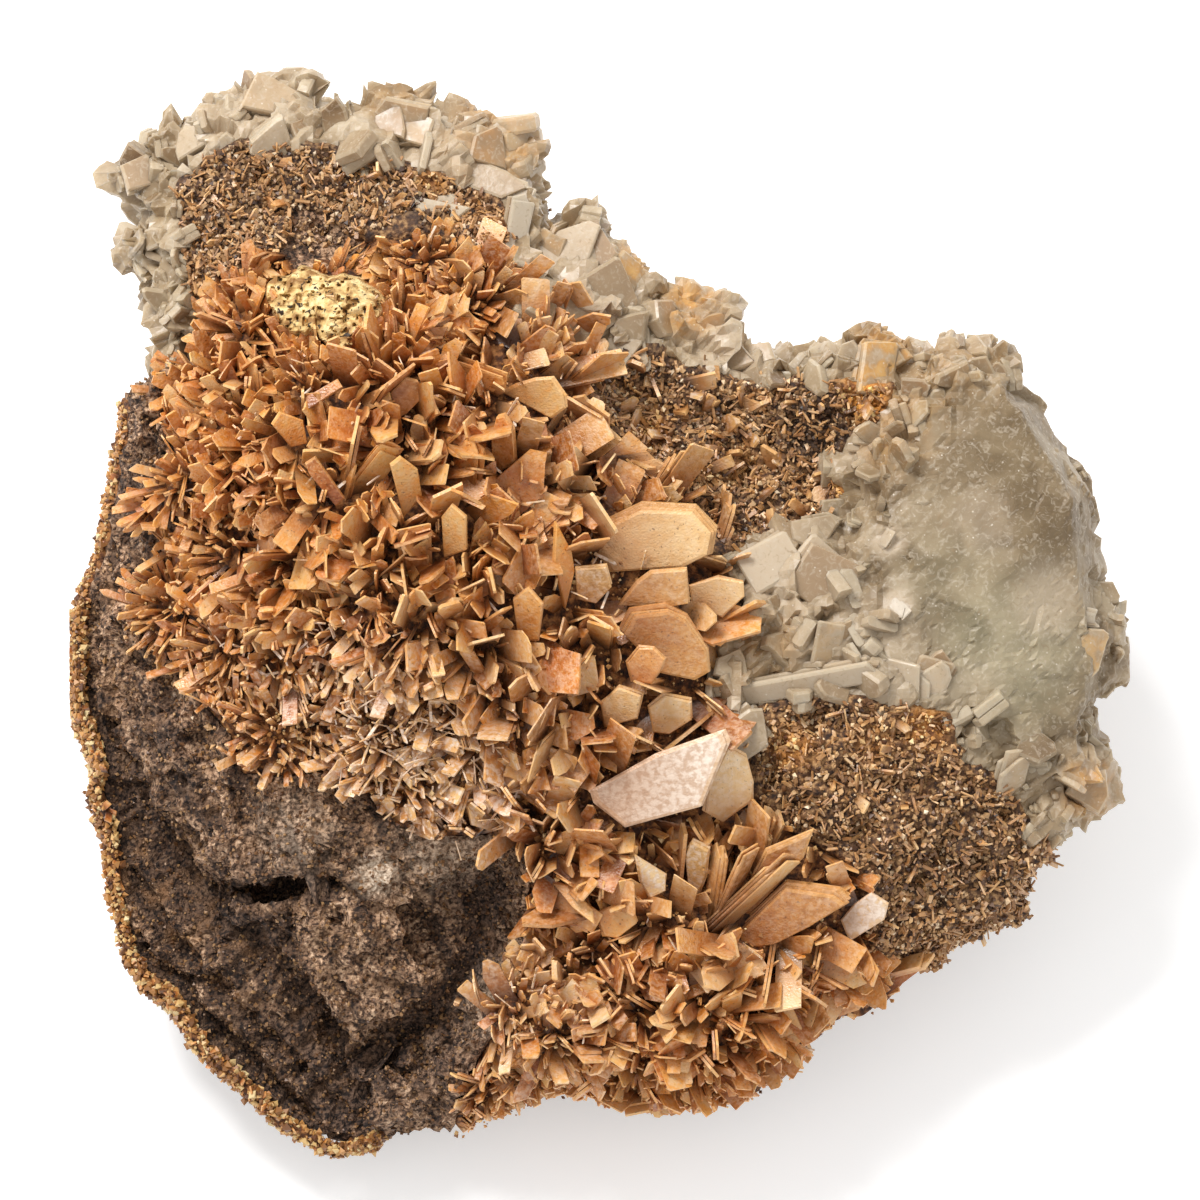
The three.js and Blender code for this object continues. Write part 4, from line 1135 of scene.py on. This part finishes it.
def vein_crystals():
    """Blunt crystals over the broken parts of the vein"""
    random = np.random.default_rng(23)
    at, normals = scattered(
        (vein_points, vein_quads), VEIN, 26000, random, facing=ANY_WAY,
        chosen=lambda at: (zone(at, PLATE) < 0.3 + 0.2 * random.random(len(at))) & away_from(at, VEIN_LARGE))
    normals = unit(normals + 0.3 * OUTWARDS)
    length, shape, spacing = blended(at, VEIN_ZONES)
    at, normals, length, shape = picked(thinned(at, spacing), at, normals, length, shape)
    number = len(at)
    along, flat = fanned(at, normals, VEIN_ROSETTE, random, seed=15)
    width = length * shape * (0.35 + 0.6 * random.random(number))
    length = length * (0.15 + 0.5 * random.random(number) ** 2)
    thick = width * (0.18 + 0.28 * random.random(number))
    sunk = 2.6
    length = length + sunk
    root = held_in(at - along * sunk, along, length)
    kept = inside(root, along, flat, width, length)
    root, along, flat, width, length, thick = picked(kept, root, along, flat, width, length, thick)
    number = len(root)
    again = np.repeat(np.arange(number), 2)  # two plates side by side
    shift = flat[again] * (np.tile([0, 0.85], number) * thick[again])[:, None]
    length = length[again] * (1 - np.tile([0, 0.12], number))
    made = crystals(root[again] + shift, along[again], flat[again], width[again], length, thick[again],
                    random, THICK, 1)
    return toned(made, **vein_tones(made[0]))


piece("vein_crystals", *vein_crystals(), PALE, "pale_barite")
piece("large_vein_crystals", *large_crystals(VEIN_LARGE, ("brown", "white"), 3, surface, 7),
      PALE, "pale_barite")

# The sugary crusts
OCHRE = [
    (862, 400, 26, 0.9), (650, 430, 22, 0.5), (700, 470, 20, 0.4), (742, 470, 22, 0.4), (846, 480, 24, 0.7),
    (640, 400, 20, 0.3), (790, 745, 24, 0.5), (920, 725, 26, 0.5), (870, 740, 20, 0.3), (180, 300, 30, 0.3),
    (300, 110, 20, 0.4), (430, 190, 16, 0.5),
]
# Darker patches of the crusts, and painted shade in the hollow between the blades and the pale vein
DARK_CRUST_AND_SHADE = [
    (240, 190, 90, 0.45), (350, 170, 80, 0.45), (700, 450, 90, 0.25), (640, 375, 40, 0.6),
    (812, 430, 40, 0.9), (700, 440, 40, 0.4), (270, 270, 30, 0.6), (425, 212, 22, 0.9), (690, 510, 40, 0.5),
    (760, 510, 30, 0.4), (960, 860, 60, 0.4), (840, 850, 40, 0.25),
]


def sugar_tones(points):
    return {"ochre": zone(points, OCHRE), "dark": zone(points, DARK_CRUST_AND_SHADE)}


def grown_over(skin, node, number, size, seed, facing=-0.2):
    """Grains over the part of a skin that is seen"""
    random = np.random.default_rng(seed)
    at, normals = scattered(skin, node, number, random, facing)
    sizes = size * (0.55 + 0.9 * random.random(len(at)) ** 2)
    at = at + normals * (sizes * (0.6 * random.random(len(at)) - 0.1))[:, None]
    made = grains(at, sizes, random)
    return toned(made, **sugar_tones(made[0]))


def laths(skin, node, number, seed):
    """Small pale laths that give a crust its curly look"""
    random = np.random.default_rng(seed)
    at, normals = scattered(skin, node, number, random, facing=0)
    number = len(at)
    along, flat = stood(normals, 0.7 + 0.9 * random.random(number), random)
    length = 0.7 + 1.1 * random.random(number) ** 2
    width = 0.2 + 0.35 * random.random(number) ** 2
    thick = np.full(number, 0.16)
    return toned(crystals(at + 0.15 * normals, along, flat, width, length, thick, random),
                 tan=1, frost=0.5 * random.random(number), rise=0.3 + 0.5 * random.random(number))


def embedded(skin, node, number, size, seed):
    """Broken crystals stuck in a crust"""
    random = np.random.default_rng(seed)
    at, normals = scattered(skin, node, number, random, facing=0.2, gap=2 * HIDDEN)
    number = len(at)
    along, flat = stood(normals, 0.3 + random.random(number), random)
    length = size * (0.6 + 0.8 * random.random(number))
    width = length * (0.4 + 0.4 * random.random(number))
    sunk = 0.8
    made = crystals(at - sunk * along, along, flat, width, length + sunk, 0.16 * length, random,
                    pointed=0.7)
    return toned(made, tan=0.6 + 0.4 * random.random(number), frost=0.9 * random.random(number) ** 2)


EMBEDDED = {"wing": (120, 1.5), "hollow": (220, 2.2), "front": (120, 1.4)}  # spots tried and size

for order, (name, node) in enumerate(SUGAR.items()):
    points, quads = remeshed(*SOLIDS[node], FINE_VOXEL)
    relief = 0.7 * rough(points, 5, 61 + order) + 0.8 * rough(points, 1.6, 71 + order)
    relief -= 1.4 * np.clip(3 * noise(points, 2.4, 75 + order) - 1, 0, 1)  # pits
    relief = met(points, relief, node)
    points = points + (relief[:, None] + 0.3) * normals_of(points, quads)
    skin = points, quads
    crust = piece(name + "_crust", points, [quads], sugar_tones(points), CRUST, "sugary_barite",
                  smooth=True)
    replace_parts(crust, node)
    piece(name + "_grains", *grown_over(skin, node, 9000, 0.6, 81 + order), GRAINS, "sugary_barite")
    piece(name + "_laths", *laths(skin, node, 2600, 121 + order), BLADES, "sugary_barite")
    piece(name + "_crystals", *embedded(skin, node, *EMBEDDED[name], 131 + order), BLADES, "sugary_barite")

# The rock
PALE_ROCK = [
    (400, 720, 45, 0.7), (380, 870, 22, 0.9), (350, 700, 40, 0.4), (183, 693, 5, 1), (300, 830, 40, 0.25),
    (510, 1000, 40, 0.5), (450, 840, 50, 0.4),
]
# Darker rock, and painted shade by the steep wall and in the clefts
DARK_AND_SHADED_ROCK = [
    (480, 900, 40, 0.6), (490, 960, 35, 0.6), (440, 1050, 60, 0.5), (150, 510, 40, 0.7),
    (270, 885, 60, 0.3), (160, 760, 60, 0.3), (330, 1090, 80, 0.4),
]
GRAIN_ALONG = unit(place(300, 1060) - place(150, 740))  # the rock splits along this


# Ledges and clefts: a line on the plan, its width towards the upper right and the lower left, and depth
GROOVES = [
    (((89, 713), (117, 774), (194, 889), (244, 923), (305, 981), (351, 1053), (366, 1092)), 6, 26, 2.4),
    (((83, 675), (98, 713), (136, 774), (163, 820), (205, 885)), 6, 14, 1.7),
    (((125, 927), (186, 1000), (259, 1069), (305, 1115)), 6, 18, 1.7),
    (((110, 850), (150, 905), (215, 985), (290, 1055), (340, 1110)), 6, 12, 1.3),
    (((270, 915), (289, 946), (328, 1019), (362, 1057)), 6, 12, 1.5),
    (((206, 890), (250, 889), (300, 884), (338, 884)), 7, 9, 2.6),
    (((358, 1076), (404, 1034), (446, 1004), (473, 965), (481, 927), (492, 877)), 12, 10, 1.8),
    (((300, 884), (290, 930), (300, 950)), 4, 6, 0.8),
]


def grooved(points):
    """How deep ledges and clefts cut into the rock seen from above"""
    x, y, _ = plan_of(points)
    cut = np.zeros(len(points))
    for line, upper, lower, depth in GROOVES:
        nearest, sides = np.full(len(points), np.inf), np.ones(len(points))
        for (x0, y0), (x1, y1) in zip(line[:-1], line[1:]):
            away = from_line(x, y, x0, y0, x1, y1)
            side = (x1 - x0) * (y - y0) - (y1 - y0) * (x - x0)
            closer = away < nearest
            nearest, sides = np.where(closer, away, nearest), np.where(closer, side, sides)
        wide = np.where(sides < 0, upper, lower)
        cut += 1.4 * depth * np.exp(-(nearest / wide) ** 2)
    return cut


def rock_tones(points):
    along = (points @ GRAIN_ALONG)[:, None] * GRAIN_ALONG
    # the ledges and clefts are painted darker here: painted shade in them
    grain_streak_and_shade = np.clip(0.55 + 0.6 * rough(points - 0.9 * along, 1.1, 101) - 0.5 * grooved(points), 0, 1)
    return {"pale": zone(points, PALE_ROCK), "dark": zone(points, DARK_AND_SHADED_ROCK), "grain_streak_and_shade": grain_streak_and_shade}


rock_points, rock_quads = remeshed(*SOLIDS["host_rock"], VOXEL)
split = rock_points - 0.85 * (rock_points @ GRAIN_ALONG)[:, None] * GRAIN_ALONG
relief = (0.4 * rough(rock_points, 6, 91) + 0.6 * facets(rock_points, 4.2, 0.6, 93)
          + 0.6 * rough(split, 1.6, 95) + 0.8 * facets(rock_points, 1.7, 0.8, 97))
rock_normals = normals_of(rock_points, rock_quads)
relief *= 0.5 + 0.5 * np.clip(0.5 + rock_normals @ OUTWARDS, 0, 1)  # smoother round the sides and below
relief *= rock_points[:, 2] > 0.4  # the spot it rests on stays flat
relief = met(rock_points, relief - grooved(rock_points), "host_rock")
rock_points = rock_points + relief[:, None] * rock_normals
rock_skin = rock_points, rock_quads
rock = piece("rock", rock_points, [rock_quads], rock_tones(rock_points), ROCK, "host_rock")
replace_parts(rock, "host_rock")
made = grown_over(rock_skin, "host_rock", 46000, 0.44, 99, facing=-0.4)
piece("rock_specks", *toned(made, dark=0.3, dice=0.1 + 0.5 * made[2]["dice"]), GRAINS, "host_rock")

STRIP = [(315, 238, 34, 1), (275, 256, 30, 1), (352, 232, 28, 1), (200, 640, 60, 0.3), (250, 700, 60, 0.3)]


def rubble():
    """Crumbs over the rock beside the crusts"""
    random = np.random.default_rng(47)
    at, normals = scattered(rock_skin, "host_rock", 60000, random, facing=0,
                            chosen=lambda at: random.random(len(at)) < zone(at, STRIP), gap=0.5)
    made = grains(at + 0.3 * normals, 0.4 + 0.6 * random.random(len(at)) ** 2, random)
    return toned(made, **sugar_tones(made[0]))


piece("rubble", *rubble(), GRAINS, "host_rock")

# The thin crust of the left flank
FLANK = "flank_blade_crust"
flank_points, flank_quads = remeshed(*SOLIDS[FLANK], FINE_VOXEL)
relief = met(flank_points, 0.1 * rough(flank_points, 1, 111), FLANK)
flank_points = flank_points + relief[:, None] * normals_of(flank_points, flank_quads)
flank_skin = flank_points, flank_quads
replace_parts(piece("flank_bed", flank_points, [flank_quads], {}, BED, "brown_barite", smooth=True), FLANK)


def flank_blades():
    """Short blades on the flank's crust"""
    random = np.random.default_rng(31)
    at, normals = scattered(flank_skin, FLANK, 16000, random, facing=ANY_WAY)
    at, normals = picked(thinned(at, np.full(len(at), 1.1)), at, normals)
    number = len(at)
    along, flat = stood(normals, 0.3 + random.random(number), random)
    length = 0.8 + 0.6 * random.random(number)
    width = length * (0.35 + 0.4 * random.random(number))
    sunk = 0.5
    root = held_in(at - along * sunk, along, length)
    made = crystals(root, along, flat, width, length, np.full(number, 0.2), random)
    return toned(made, tan=0.1, frost=0.1, dice=0.5 * made[2]["dice"])


piece("flank_blades", *flank_blades(), BLADES, "brown_barite")
made = grown_over(flank_skin, FLANK, 9000, 0.75, 127, facing=ANY_WAY)
piece("flank_grains", *toned(made, ochre=0.5, dark=0.25), GRAINS, "brown_barite")
